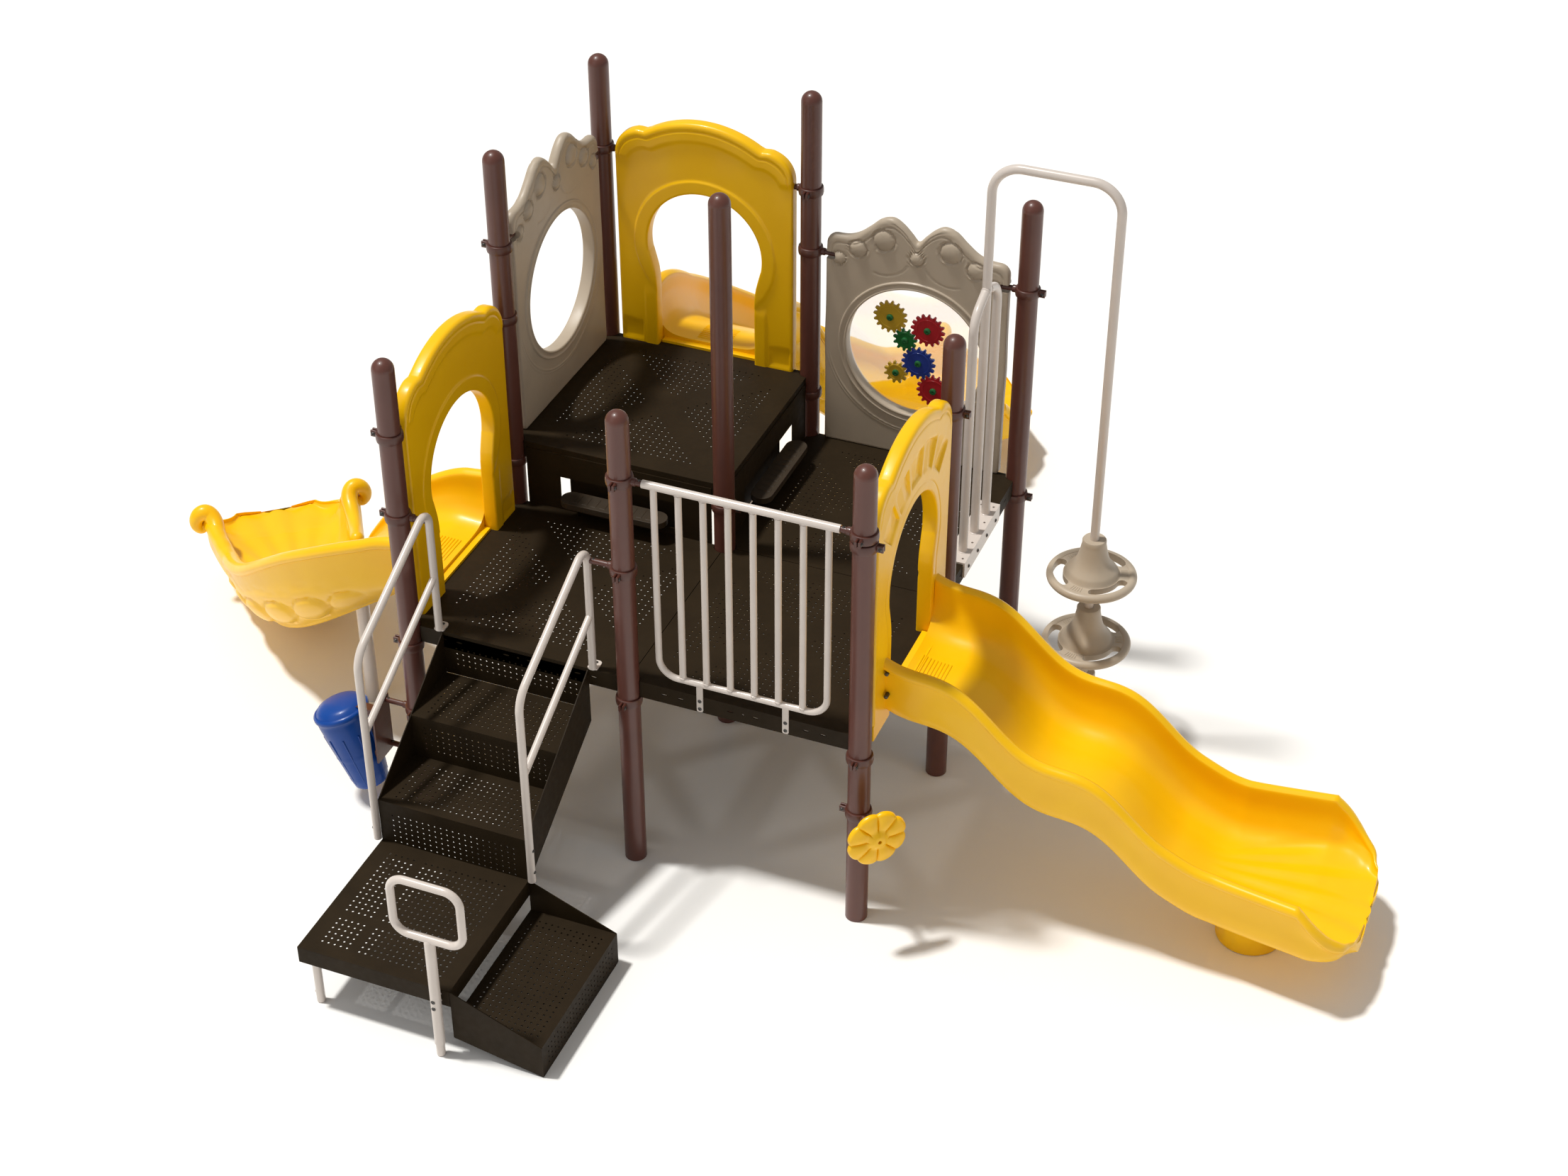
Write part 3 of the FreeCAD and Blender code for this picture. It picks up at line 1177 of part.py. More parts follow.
def make_handrail(label, x):
    """Looped handrail beside the stairs with a sloping mid-rail and a foot plate on the deck."""
    radius, back = size("rail_radius"), size("handrail_step")
    front = -2 * size("stair_run") - size("handrail_lead")
    deck = size("deck_low")
    points = [(x, back, deck), (x, back, deck + size("handrail_top")),
              (x, front, deck + size("handrail_bend")), (x, front, deck - size("handrail_end"))]
    rail = tube(points, radius, [size("top_bend"), size("low_bend")])
    low, high = Vector(x, front, deck - size("midrail_end")), Vector(x, back, deck + size("midrail_top"))
    mid = Part.makeCylinder(size("midrail_radius"), low.distanceToPoint(high), low, high - low)
    width = size("rail_foot_width")
    foot = Part.makeBox(width, size("rail_foot_depth"), size("rail_foot_thick"),
                        Vector(x - width / 2, size("deck_gap"), deck))
    node(feature(label, rail.fuse([mid, foot]).removeSplitter()), label)


make_handrail("left_handrail", size("stair_left") - size("rail_radius"))
make_handrail("right_handrail", size("stair_left") + size("stair_width") + size("rail_radius"))


def make_grab_loop():
    """Rounded square loop on a post that bolts to the front of the transfer platform."""
    x = size("stair_left") + size("grab_at")
    skirt = -2 * size("stair_run") - size("platform_depth")
    y = skirt - size("grab_offset")
    top = size("deck_low") - 3 * size("stair_rise")
    low, high, half = top + size("grab_low"), top + size("grab_high"), size("grab_width") / 2
    halves = [tube([(x, y, low), (x + s * half, y, low), (x + s * half, y, high), (x, y, high)],
                   size("rail_radius"), size("grab_corner")) for s in (1, -1)]
    stub = size("grab_stub_height")
    post = Part.makeCylinder(size("grab_post"), low - stub, Vector(x, y, stub))
    stub_bar = Part.makeCylinder(size("grab_stub"), stub, Vector(x, y, 0))
    bolts = [Part.makeCylinder(size("grab_bolt"), size("grab_offset"), Vector(x, y, top - size(drop)),
                               Vector(0, 1, 0))
             for drop in ("grab_bolt_high", "grab_bolt_low")]
    loop = halves[0].fuse([halves[1], post, stub_bar] + bolts).removeSplitter()
    node(feature("grab_loop", loop), "grab_loop")


make_grab_loop()

# ---------------------------------------------------------------- barrier


BALUSTERS = 8    # with the two sides of the frame


def make_barrier():
    middle, pitch = 1.5 * size("bay"), size("baluster_pitch")
    deck, radius, reach = size("deck_low"), size("baluster_radius"), size("barrier_reach")
    top, low = deck + size("barrier_top"), deck + size("barrier_low")
    left, right = middle - (BALUSTERS - 1) / 2 * pitch, middle + (BALUSTERS - 1) / 2 * pitch
    rail = Part.makeCylinder(size("barrier_tube"), size("bay") - 2 * reach,
                             Vector(size("bay") + reach, 0, top), Vector(1, 0, 0))
    frame = tube([(left, 0, top), (left, 0, low), (right, 0, low), (right, 0, top)], radius,
                 size("barrier_corner"))
    bars = [Part.makeCylinder(radius, top - low, Vector(left + k * pitch, 0, low))
            for k in range(1, BALUSTERS - 1)]
    bottom = deck - size("deck_skirt") + size("strap_lift")
    straps = [Part.makeBox(size("strap_width"), size("strap_thick"), low - bottom,
                           Vector(middle + s * size("strap_at") - size("strap_width") / 2,
                                  size("deck_gap") - size("strap_thick"), bottom))
              for s in (-1, 1)]
    node(feature("barrier_rail", rail.fuse([frame] + bars + straps).removeSplitter()), "barrier_rail")


make_barrier()

# ---------------------------------------------------------------- drum and flower

# Half section of the drum from its foot to the middle of its domed head
DRUM_SECTION = (
    ("0", "0"), ("drum_foot", "0"), ("drum_foot * 1.16", "drum_height * 0.35"),
    ("drum_head * 0.94", "drum_height * 0.86"), ("drum_head * 0.95", "drum_height * 0.94"),
    ("drum_head", "drum_height * 0.96"), ("drum_head", "drum_height"),
    ("drum_head * 0.8", "drum_height + 20"), ("drum_head * 0.45", "drum_height + 32"),
    ("0", "drum_height + 36"),
)
SADDLES = (("455", "100"), ("240", "60"))    # height, reach towards the drum


def make_drum():
    tilt = Rotation(Vector(0, 1, 0), -size("drum_tilt"))
    body = put(turned("drum", DRUM_SECTION), "drum_x", "drum_y", "drum_z", turn=tilt)
    node(body, "drum")
    backing = box("drum_backing", ("backing_thick", "backing_width", "backing_height"),
                  ("-backing_at - backing_thick", "drum_y - backing_lead", "backing_low"))
    saddles = [box(f"drum_saddle_{k}", (reach, "saddle_width", "saddle_height"),
                   (f"-backing_at - {reach}", "drum_y - saddle_width / 2", z))
               for k, (z, reach) in enumerate(SADDLES)]
    blank = fuse("drum_bracket_blank", [backing] + saddles)
    doc.recompute()
    trimmed = blank.Shape.cut(body.Shape)
    near = max(trimmed.Solids, key=lambda s: s.Volume)
    node(feature("drum_bracket", near), "drum_bracket")


make_drum()

PETALS = 8
RIM_POINTS = 64
PETAL_CREASE = 1.5    # above one, the notches between petals are narrower
FLOWER_WAY = -45.0


def make_flower():
    radius, thick, wave = size("flower_radius"), size("flower_thick"), size("flower_wave")
    rim = []
    for k in range(RIM_POINTS):
        angle = 2 * math.pi * k / RIM_POINTS
        notch = (1 - abs(math.sin(PETALS / 2 * angle))) ** PETAL_CREASE
        reach = radius - wave * notch
        rim.append(Vector(math.cos(angle) * reach, math.sin(angle) * reach, 0))
    disc = Part.Face(Part.makePolygon(rim + rim[:1])).extrude(Vector(0, 0, thick))
    hub = Part.makeCylinder(size("flower_hub"), thick + size("flower_proud"))
    hole = Part.makeCylinder(size("flower_hole"), thick, Vector(0, 0, size("flower_floor")))
    shape = disc.fuse(hub).removeSplitter().cut(hole)
    reach = size("flower_reach") - thick / 2
    way = math.radians(FLOWER_WAY)
    facing = Rotation(Vector(0, 0, 1), FLOWER_WAY).multiply(Rotation(Vector(0, 1, 0), 90))
    centre = Vector(TWO_BAYS + reach * math.cos(way), reach * math.sin(way), size("flower_height"))
    node(feature("flower_disc", shape, Placement(centre, facing)), "flower_disc")


make_flower()


def flower_bracket():
    """Clamp ring with a round arm that runs diagonally to the back of the flower."""
    ring = clamp_ring("flower_clamp", 2, 0, "flower_height + clamp_height / 2", "west")
    arm = cylinder("flower_arm_bar", "flower_arm", f"flower_reach - flower_thick / 2 - {RING_MIDDLE}",
                   (f"2 * bay + {RING_MIDDLE} * sqrt(0.5)", f"-{RING_MIDDLE} * sqrt(0.5)", "flower_height"),
                   turn=Rotation(Vector(0, 0, 1), FLOWER_WAY).multiply(EAST))
    return fuse("flower_bracket", [ring, arm])


HANDRAIL_CLAMP = "deck_low + rail_clamp_height + clamp_height / 2"
BARRIER_CLAMP = "deck_low + barrier_top + clamp_height / 2"
RAIL_CLAMPS = (
    ("left_handrail_clamp", 0, 0, HANDRAIL_CLAMP, "west",
     (("east", "stair_left - 2 * rail_radius", "handrail_step"),)),
    ("right_handrail_clamp", 1, 0, HANDRAIL_CLAMP, "south",
     (("west", "bay - stair_left - stair_width - 2 * rail_radius", "handrail_step"),)),
    ("barrier_left_clamp", 1, 0, BARRIER_CLAMP, "south", (("east", "barrier_reach"),)),
    ("barrier_right_clamp", 2, 0, BARRIER_CLAMP, "south", (("west", "barrier_reach"),)),
    ("drum_high_clamp", 0, 0, "drum_clamp_high + clamp_height / 2", "south", (("west", "backing_at"),)),
    ("drum_low_clamp", 0, 0, "drum_clamp_low + clamp_height / 2", "south", (("west", "backing_at"),)),
)
rail_clamps = [armed_clamp(*row) for row in RAIL_CLAMPS] + [flower_bracket()]
node(group("rail_clamps", rail_clamps), "rail_clamps")

# ---------------------------------------------------------------- pod climber

CLIMBER_X = TWO_BAYS - size("climber_in")
CLIMBER_Y = 1.5 * size("bay")
POD_X = CLIMBER_X + size("climber_reach")


def make_climber():
    """Overhead pole, two side loops, base plate and edge flange, welded together."""
    radius, pitch = size("climber_tube"), size("climber_pitch")
    deck = size("deck_low")
    base, high = deck + size("climber_plate") / 2, deck + size("climber_height")
    pole = tube([(CLIMBER_X, CLIMBER_Y, base), (CLIMBER_X, CLIMBER_Y, high), (POD_X, CLIMBER_Y, high),
                 (POD_X, CLIMBER_Y, 0)], radius, size("climber_bend"))
    turn_in = deck + size("loop_height")
    loops = [tube([(CLIMBER_X, y, base), (CLIMBER_X, y, turn_in),
                   (CLIMBER_X, CLIMBER_Y, turn_in + size("loop_rise"))], radius, size("loop_bend"))
             for y in (CLIMBER_Y - pitch, CLIMBER_Y + pitch)]
    edge, long, deep = TWO_BAYS - size("deck_gap"), size("plate_length"), size("plate_depth")
    thick = size("climber_plate")
    flat = Part.makeBox(deep + thick, long, thick, Vector(edge - deep, CLIMBER_Y - long / 2, deck))
    drop = size("deck_skirt") - size("flange_inset")
    flange = Part.makeBox(thick, long, drop, Vector(edge, CLIMBER_Y - long / 2, deck - drop))
    node(feature("climber_frame", pole.fuse(loops + [flat, flange]).removeSplitter()), "climber_frame")


make_climber()

PODS = 3
POD_SLOTS = 3
SLOT_SPAN, SLOT_START = 78.0, 40.0    # degrees


def pod_slots():
    """Three curved hand slots between a pod's hub and rim."""
    inner, outer = size("pod_hub") + size("pod_web"), size("pod_radius") - size("pod_rim")
    deep = size("pod_thick")
    slots = []
    for k in range(POD_SLOTS):
        wedge = Part.makeCylinder(outer, 3 * deep, Vector(0, 0, -deep), Vector(0, 0, 1), SLOT_SPAN)
        slot = wedge.cut(Part.makeCylinder(inner, 3 * deep, Vector(0, 0, -deep)))
        slot.rotate(Vector(), Vector(0, 0, 1), 360.0 / POD_SLOTS * k + SLOT_START)
        slots.append(slot)
    return slots[0].fuse(slots[1:])


def make_pod(index):
    """Wheel-shaped step with a bell hub that rises round the pole."""
    bore = "climber_tube + pod_fit"
    top = "pod_thick / 2 + pod_height"
    profile = ((bore, "0"), ("pod_radius - pod_edge", "0"), ("pod_radius", "pod_thick * 0.3"),
               ("pod_radius", "pod_thick * 0.7"), ("pod_radius - pod_edge", "pod_thick"),
               ("pod_hub", "pod_thick"), ("pod_hub * 0.93", "pod_thick + pod_shoulder"),
               ("pod_neck * 1.3", "pod_height * 0.66"), ("pod_neck * 1.06", "pod_height * 0.8"),
               ("pod_neck", top), (bore, top))
    body = turned(f"pod_blank_{index}", profile)
    pod = cut(f"pod_{index}", body, feature(f"pod_slots_{index}", pod_slots()))
    return put(pod, "2 * bay - climber_in + climber_reach", "bay * 1.5",
               f"pod_low - pod_thick / 2 + {index} * pod_pitch")


node(group("climber_pods", [make_pod(k) for k in range(PODS)]), "climber_pods")

# ---------------------------------------------------------------- check and write

doc.recompute()
failed = [f"{obj.Name} {obj.State}" for obj in doc.Objects if {"Invalid", "Error"} & set(obj.State)]
for obj in NODES:
    if obj.Shape.isNull() or not obj.Shape.isValid() or not obj.Shape.Solids:
        failed.append(f"{obj.Label} has no valid solid")
if failed:
    raise RuntimeError("; ".join(failed))

os.makedirs("parts", exist_ok=True)
for obj in NODES:
    obj.Shape.exportStep(f"parts/{obj.Label}.step")
print(len(NODES), "nodes written")
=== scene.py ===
import math

import bmesh
import bpy
import numpy as np
from mathutils import Matrix, Vector


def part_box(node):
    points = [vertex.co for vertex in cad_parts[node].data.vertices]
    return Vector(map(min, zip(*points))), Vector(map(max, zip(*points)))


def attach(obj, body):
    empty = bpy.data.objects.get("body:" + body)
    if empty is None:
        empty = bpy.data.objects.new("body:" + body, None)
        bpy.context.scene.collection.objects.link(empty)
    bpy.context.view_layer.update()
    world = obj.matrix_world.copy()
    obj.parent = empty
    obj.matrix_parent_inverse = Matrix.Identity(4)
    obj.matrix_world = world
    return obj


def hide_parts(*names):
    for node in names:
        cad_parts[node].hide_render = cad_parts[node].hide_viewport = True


# Looks of the play structure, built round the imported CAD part. Metres, same frame as the CAD.

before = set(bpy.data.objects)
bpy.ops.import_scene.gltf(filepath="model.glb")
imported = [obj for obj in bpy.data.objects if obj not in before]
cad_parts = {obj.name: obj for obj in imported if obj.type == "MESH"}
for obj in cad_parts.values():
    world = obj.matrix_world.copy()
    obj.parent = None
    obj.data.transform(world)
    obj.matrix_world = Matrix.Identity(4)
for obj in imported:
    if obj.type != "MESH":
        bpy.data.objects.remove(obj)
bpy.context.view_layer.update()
ROOT = "structure"


def middle(node):
    low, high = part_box(node)
    return (Vector(low) + Vector(high)) / 2


def top_of(node):
    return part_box(node)[1][2]


BAY = middle("front_right_post").x / 2
DECK_LOW, DECK_HIGH = top_of("front_left_deck"), top_of("high_deck")
POST_R = 0.04445
TAU = 2 * math.pi


# ---------------------------------------------------------------- mesh building

class Mesh:
    """Vertices and faces that are collected into one piece."""

    def __init__(self):
        self.verts, self.faces = [], []

    def add(self, verts, faces, matrix=None):
        base = len(self.verts)
        for v in verts:
            v = Vector(v)
            self.verts.append(matrix @ v if matrix is not None else v)
        self.faces += [tuple(base + k for k in f) for f in faces]
        return self

    def merge(self, other, matrix=None):
        return self.add(other.verts, other.faces, matrix)


def smoothstep(a, b, x):
    t = min(1.0, max(0.0, (x - a) / (b - a)))
    return t * t * (3 - 2 * t)


def loft(rings, closed_ring=True, caps=True):
    """Quads between successive rings of equal length."""
    n = len(rings[0])
    verts = [p for ring in rings for p in ring]
    faces = []
    span = n if closed_ring else n - 1
    for k in range(len(rings) - 1):
        for i in range(span):
            j = (i + 1) % n
            faces.append((k * n + i, k * n + j, (k + 1) * n + j, (k + 1) * n + i))
    if caps:
        faces.append(tuple(range(n))[::-1])
        faces.append(tuple(range((len(rings) - 1) * n, len(rings) * n)))
    return verts, faces


def lathe(profile, segments=48):
    """Revolve (radius, height) pairs about Z; a zero radius makes a pole."""
    verts, faces, rows = [], [], []
    for r, z in profile:
        if r < 1e-6:
            rows.append([len(verts)])
            verts.append((0, 0, z))
        else:
            rows.append(list(range(len(verts), len(verts) + segments)))
            verts += [(r * math.cos(TAU * k / segments), r * math.sin(TAU * k / segments), z)
                      for k in range(segments)]
    for a, b in zip(rows, rows[1:]):
        for k in range(segments):
            j = (k + 1) % segments
            if len(a) == 1 and len(b) == 1:
                continue
            if len(a) == 1:
                faces.append((a[0], b[j], b[k]))
            elif len(b) == 1:
                faces.append((a[k], a[j], b[0]))
            else:
                faces.append((a[k], a[j], b[j], b[k]))
    return verts, faces


def arc_path(points, bends, step=math.radians(7.5)):
    """Points along straight runs joined by tangent arcs."""
    points = [Vector(p) for p in points]
    if not isinstance(bends, (list, tuple)):
        bends = [bends] * (len(points) - 2)
    path = [points[0]]
    for k, radius in enumerate(bends, start=1):
        before = (points[k - 1] - points[k]).normalized()
        after = (points[k + 1] - points[k]).normalized()
        half = before.angle(after) / 2
        reach = radius / math.tan(half)
        centre = points[k] + (before + after).normalized() * (radius / math.sin(half))
        first = points[k] + before * reach - centre
        last = points[k] + after * reach - centre
        count = max(2, int(first.angle(last) / step))
        total = first.angle(last)
        for i in range(count + 1):
            t = i / count
            path.append(centre + (first * math.sin((1 - t) * total) + last * math.sin(t * total)) / math.sin(total))
    path.append(points[-1])
    return path


def sweep(path, radius, segments=20, squash=None, caps=True):
    """A round bar along a path; squash(k) gives the two section scales at point k."""
    path = [Vector(p) for p in path]
    count = len(path)
    tangents = []
    for k in range(count):
        a, b = path[max(0, k - 1)], path[min(count - 1, k + 1)]
        tangents.append((b - a).normalized())
    up = Vector((0, 0, 1)) if abs(tangents[0].z) < 0.9 else Vector((0, 1, 0))
    side = tangents[0].cross(up).normalized()
    rings = []
    for k in range(count):
        side = (side - tangents[k] * side.dot(tangents[k])).normalized()
        other = tangents[k].cross(side)
        sx, sy = squash(k) if squash else (1, 1)
        rings.append([path[k] + side * (math.cos(TAU * i / segments) * radius * sx)
                      + other * (math.sin(TAU * i / segments) * radius * sy) for i in range(segments)])
    return loft(rings, True, caps)


def block(low, high):
    (a, b, c), (d, e, f) = low, high
    verts = [(a, b, c), (d, b, c), (d, e, c), (a, e, c), (a, b, f), (d, b, f), (d, e, f), (a, e, f)]
    faces = [(0, 3, 2, 1), (4, 5, 6, 7), (0, 1, 5, 4), (1, 2, 6, 5), (2, 3, 7, 6), (3, 0, 4, 7)]
    return verts, faces


def prism(outline, low, high):
    """Extrude a flat outline in the XY plane."""
    n = len(outline)
    verts = [(x, y, low) for x, y in outline] + [(x, y, high) for x, y in outline]
    faces = [tuple(range(n))[::-1], tuple(range(n, 2 * n))]
    faces += [(k, (k + 1) % n, n + (k + 1) % n, n + k) for k in range(n)]
    return verts, faces


def disc_along(centre, axis, radius, length, round_end=0.0, segments=24):
    """A short round bar from centre along axis, its far end rounded."""
    profile = [(0, 0), (radius, 0)]
    steps = 4 if round_end else 0
    profile.append((radius, length - round_end))
    for k in range(1, steps + 1):
        a = math.pi / 2 * k / steps
        profile.append((radius - round_end * (1 - math.cos(a)), length - round_end * (1 - math.sin(a))))
    profile.append((0, length))
    turn = Vector((0, 0, 1)).rotation_difference(Vector(axis)).to_matrix().to_4x4()
    verts, faces = lathe(profile, segments)
    matrix = Matrix.Translation(Vector(centre)) @ turn
    return [matrix @ Vector(v) for v in verts], faces


def piece(name, mesh, material, replaces=(), body=ROOT, bevel=None, sharp=32, segments=2):
    """Make the object, shade it, give it its material and say what it rides on and stands for."""
    me = bpy.data.meshes.new(name)
    me.from_pydata([tuple(v) for v in mesh.verts], [], mesh.faces)
    bm = bmesh.new()
    bm.from_mesh(me)
    bmesh.ops.recalc_face_normals(bm, faces=bm.faces)
    limit = math.radians(sharp)
    for face in bm.faces:
        face.smooth = True
    for edge in bm.edges:
        edge.smooth = len(edge.link_faces) == 2 and edge.calc_face_angle(0.0) < limit
    bm.to_mesh(me)
    bm.free()
    obj = bpy.data.objects.new(name, me)
    bpy.context.collection.objects.link(obj)
    if bevel:
        modifier = obj.modifiers.new("edges", "BEVEL")
        modifier.width, modifier.segments = bevel, segments
        modifier.limit_method, modifier.angle_limit = "ANGLE", math.radians(40)
        modifier.harden_normals = True
    me.materials.append(material)
    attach(obj, body)
    if replaces:
        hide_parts(*replaces)
    return obj


# ---------------------------------------------------------------- materials

def srgb(r, g, b):
    def linear(c):
        c /= 255
        return c / 12.92 if c <= 0.04045 else ((c + 0.055) / 1.055) ** 2.4
    return (linear(r), linear(g), linear(b), 1)


def surface(name, colour, rough, mottle=0.06, grain=900.0, grain_depth=0.00004, cloud=7.0, coat=0.0,
            metallic=0.0, specular=0.5, subsurface=0.0, transmission=0.0):
    """Plastic, paint or metal: cloudy colour change, patchy roughness and a fine surface grain."""
    mat = bpy.data.materials.new(name)
    mat.use_nodes = True
    nodes, links = mat.node_tree.nodes, mat.node_tree.links
    shader = nodes["Principled BSDF"]
    where = nodes.new("ShaderNodeTexCoord").outputs["Object"]
    clouds = nodes.new("ShaderNodeTexNoise")
    clouds.inputs["Scale"].default_value = cloud
    clouds.inputs["Detail"].default_value = 5
    links.new(where, clouds.inputs["Vector"])
    tint = nodes.new("ShaderNodeValToRGB")
    tint.color_ramp.elements[0].position, tint.color_ramp.elements[1].position = 0.3, 0.7
    tint.color_ramp.elements[0].color = (*[c * (1 - mottle) for c in colour[:3]], 1)
    tint.color_ramp.elements[1].color = (*[min(1.0, c * (1 + mottle) + mottle * 0.01) for c in colour[:3]], 1)
    links.new(clouds.outputs["Fac"], tint.inputs["Fac"])
    links.new(tint.outputs["Color"], shader.inputs["Base Color"])
    patch = nodes.new("ShaderNodeTexNoise")
    patch.inputs["Scale"].default_value = cloud * 5
    patch.inputs["Detail"].default_value = 4
    links.new(where, patch.inputs["Vector"])
    spread = nodes.new("ShaderNodeMapRange")
    spread.inputs["To Min"].default_value = rough * 0.8
    spread.inputs["To Max"].default_value = min(1.0, rough * 1.25)
    links.new(patch.outputs["Fac"], spread.inputs["Value"])
    links.new(spread.outputs["Result"], shader.inputs["Roughness"])
    fine = nodes.new("ShaderNodeTexNoise")
    fine.inputs["Scale"].default_value = grain
    fine.inputs["Detail"].default_value = 3
    links.new(where, fine.inputs["Vector"])
    bump = nodes.new("ShaderNodeBump")
    bump.inputs["Distance"].default_value = grain_depth
    bump.inputs["Strength"].default_value = 0.8
    links.new(fine.outputs["Fac"], bump.inputs["Height"])
    links.new(bump.outputs["Normal"], shader.inputs["Normal"])
    shader.inputs["Metallic"].default_value = metallic
    shader.inputs["Specular IOR Level"].default_value = specular
    shader.inputs["Coat Weight"].default_value = coat
    shader.inputs["Coat Roughness"].default_value = 0.08
    shader.inputs["Subsurface Weight"].default_value = subsurface
    shader.inputs["Subsurface Scale"].default_value = 0.01
    shader.inputs["Transmission Weight"].default_value = transmission
    return mat


POST_PAINT = surface("post_paint", srgb(94, 53, 43), 0.38, grain=420, grain_depth=0.00012, coat=0.15)
CLAMP_PAINT = surface("clamp_paint", srgb(82, 43, 33), 0.38, grain=420, grain_depth=0.00012, coat=0.15)
DECK_COAT = surface("deck_coating", srgb(38, 27, 10), 0.6, mottle=0.12, grain=700, grain_depth=0.00015,
                    specular=0.15)
PLANK = surface("plank_plastic", srgb(50, 38, 22), 0.55, mottle=0.14, grain=500, grain_depth=0.0003)
YELLOW = surface("yellow_plastic", srgb(255, 196, 0), 0.34, mottle=0.03, grain=650, grain_depth=0.00005, coat=0.12,
                 specular=0.35)
BEIGE = surface("beige_plastic", srgb(184, 169, 149), 0.42, mottle=0.05, grain=800, grain_depth=0.0001)
BEIGE_PAINT = surface("beige_paint", srgb(214, 203, 194), 0.33, mottle=0.04, grain=450, grain_depth=0.0001, coat=0.3)
BLUE = surface("blue_plastic", srgb(0, 66, 150), 0.34, mottle=0.06, coat=0.1, specular=0.3)
STEEL = surface("axle_steel", srgb(150, 150, 152), 0.28, metallic=1.0, mottle=0.05)
BOLT = surface("bolt_steel", srgb(90, 88, 86), 0.35, metallic=0.9, mottle=0.1)
GEAR_BLUE = surface("blue_gear_plastic", srgb(38, 58, 140), 0.3, coat=0.2)
GEAR_GREEN = surface("green_gear_plastic", srgb(26, 100, 44), 0.3, coat=0.2)
GEAR_YELLOW = surface("yellow_gear_plastic", srgb(190, 154, 40), 0.3, coat=0.2)
GEAR_RED = surface("red_gear_plastic", srgb(172, 30, 38), 0.3, coat=0.2)
HUB_GREEN = surface("hub_plastic", srgb(26, 96, 48), 0.35)


def clear_sheet():
    mat = surface("clear_sheet", (0.97, 0.985, 0.99, 1), 0.04, mottle=0.01, transmission=1.0)
    mat.node_tree.nodes["Principled BSDF"].inputs["IOR"].default_value = 1.2
    mat.node_tree.nodes["Principled BSDF"].inputs["Alpha"].default_value = 0.35
    return mat


CLEAR = clear_sheet()


# ---------------------------------------------------------------- moulded slides

def spline_loop(points, per=4):
    """Closed Catmull-Rom curve through points."""
    p = np.array(points, float)
    n = len(p)
    out = []
    for k in range(n):
        a, b, c, d = p[(k - 1) % n], p[k], p[(k + 1) % n], p[(k + 2) % n]
        for i in range(per):
            t = i / per
            out.append(0.5 * ((2 * b) + (c - a) * t + (2 * a - 5 * b + 4 * c - d) * t * t
                              + (3 * b - a - 3 * c + d) * t ** 3))
    return np.array(out)


# Inside wall below the roll: distance in from it, share of the wall's height
WALL = ((0.002, 0.62), (0.012, 0.4), (0.038, 0.155), (0.083, 0.035), (0.15, 0.0))
ROLL_TURNS = tuple(math.radians(a) for a in (-62, -30, 5, 48, 90, 132, 168))
SLIDE_HALF, SLIDE_WALL, SLIDE_RAIL, SLIDE_SHELL = 0.285, 0.225, 0.035, 0.046
UNDERSIDE = 31
PER = 5


def chute_section(half, bed, left, right, keel, roll):
    """Control points of a chute's closed section, from the left rail round to the right and underneath."""
    narrow = min(1.0, half / SLIDE_HALF)
    rows = []
    for sign, crest in ((1, left), (-1, right)):
        wall = crest - bed
        size = min(roll, 0.28 * wall)
        x, z = half + SLIDE_RAIL - size, crest - size
        inner = x - 0.92 * size
        rows.append([(sign * (x + 0.45 * size), crest - 2.1 * size)]
                    + [(sign * (x + size * math.cos(a)), z + size * math.sin(a)) for a in ROLL_TURNS]
                    + [(sign * (inner - inward * narrow), bed + wall * up) for inward, up in WALL]
                    + [(sign * (inner - 0.15 * narrow) * f, bed) for f in (0.66, 0.33)])
    wall = (left + right) / 2 - bed
    side = [(half + 0.012, bed + 0.45 * wall), (half + 0.004, bed - 0.2 * SLIDE_SHELL)]
    side += [(half - inward * narrow, bed - SLIDE_SHELL - keel * deep)
             for inward, deep in ((0.03, 0.2), (0.07, 0.55), (0.12, 0.84), (0.17, 1.0))]
    under = [(-u, z) for u, z in side] + side[::-1]
    return rows[0] + [(0, bed)] + rows[1][::-1] + under


# Exit lips: distance past the rails' end, share of the half width, share of the wall
WAVE_LIP = ((0.0, 1.0, 1.0), (0.06, 1.02, 0.74), (0.13, 0.95, 0.4), (0.19, 0.76, 0.16), (0.218, 0.56, 0.07))
CURVED_LIP = ((0.0, 1.0, 0.96), (0.05, 0.97, 0.66), (0.1, 0.9, 0.36), (0.15, 0.78, 0.17), (0.19, 0.61, 0.08),
              (0.218, 0.44, 0.05))
LIP_LENGTH = WAVE_LIP[-1][0]
RIB_COUNT = 34
FAN_BACK = 0.62


def smooth_lip(lip, past):
    """Lip shares, averaged over a short window so that the outline has no corners."""
    xs = [row[0] for row in lip]
    window = [min(LIP_LENGTH, max(0.0, past + d)) for d in (-0.02, -0.01, 0.0, 0.01, 0.02)]
    return (sum(float(np.interp(p, xs, [row[1] for row in lip])) for p in window) / 5,
            sum(float(np.interp(p, xs, [row[2] for row in lip])) for p in window) / 5)


DISC_PITCH, DISC_R, DISC_ANGLE, BELLY_R = 0.19, 0.09, math.radians(-37), 0.3


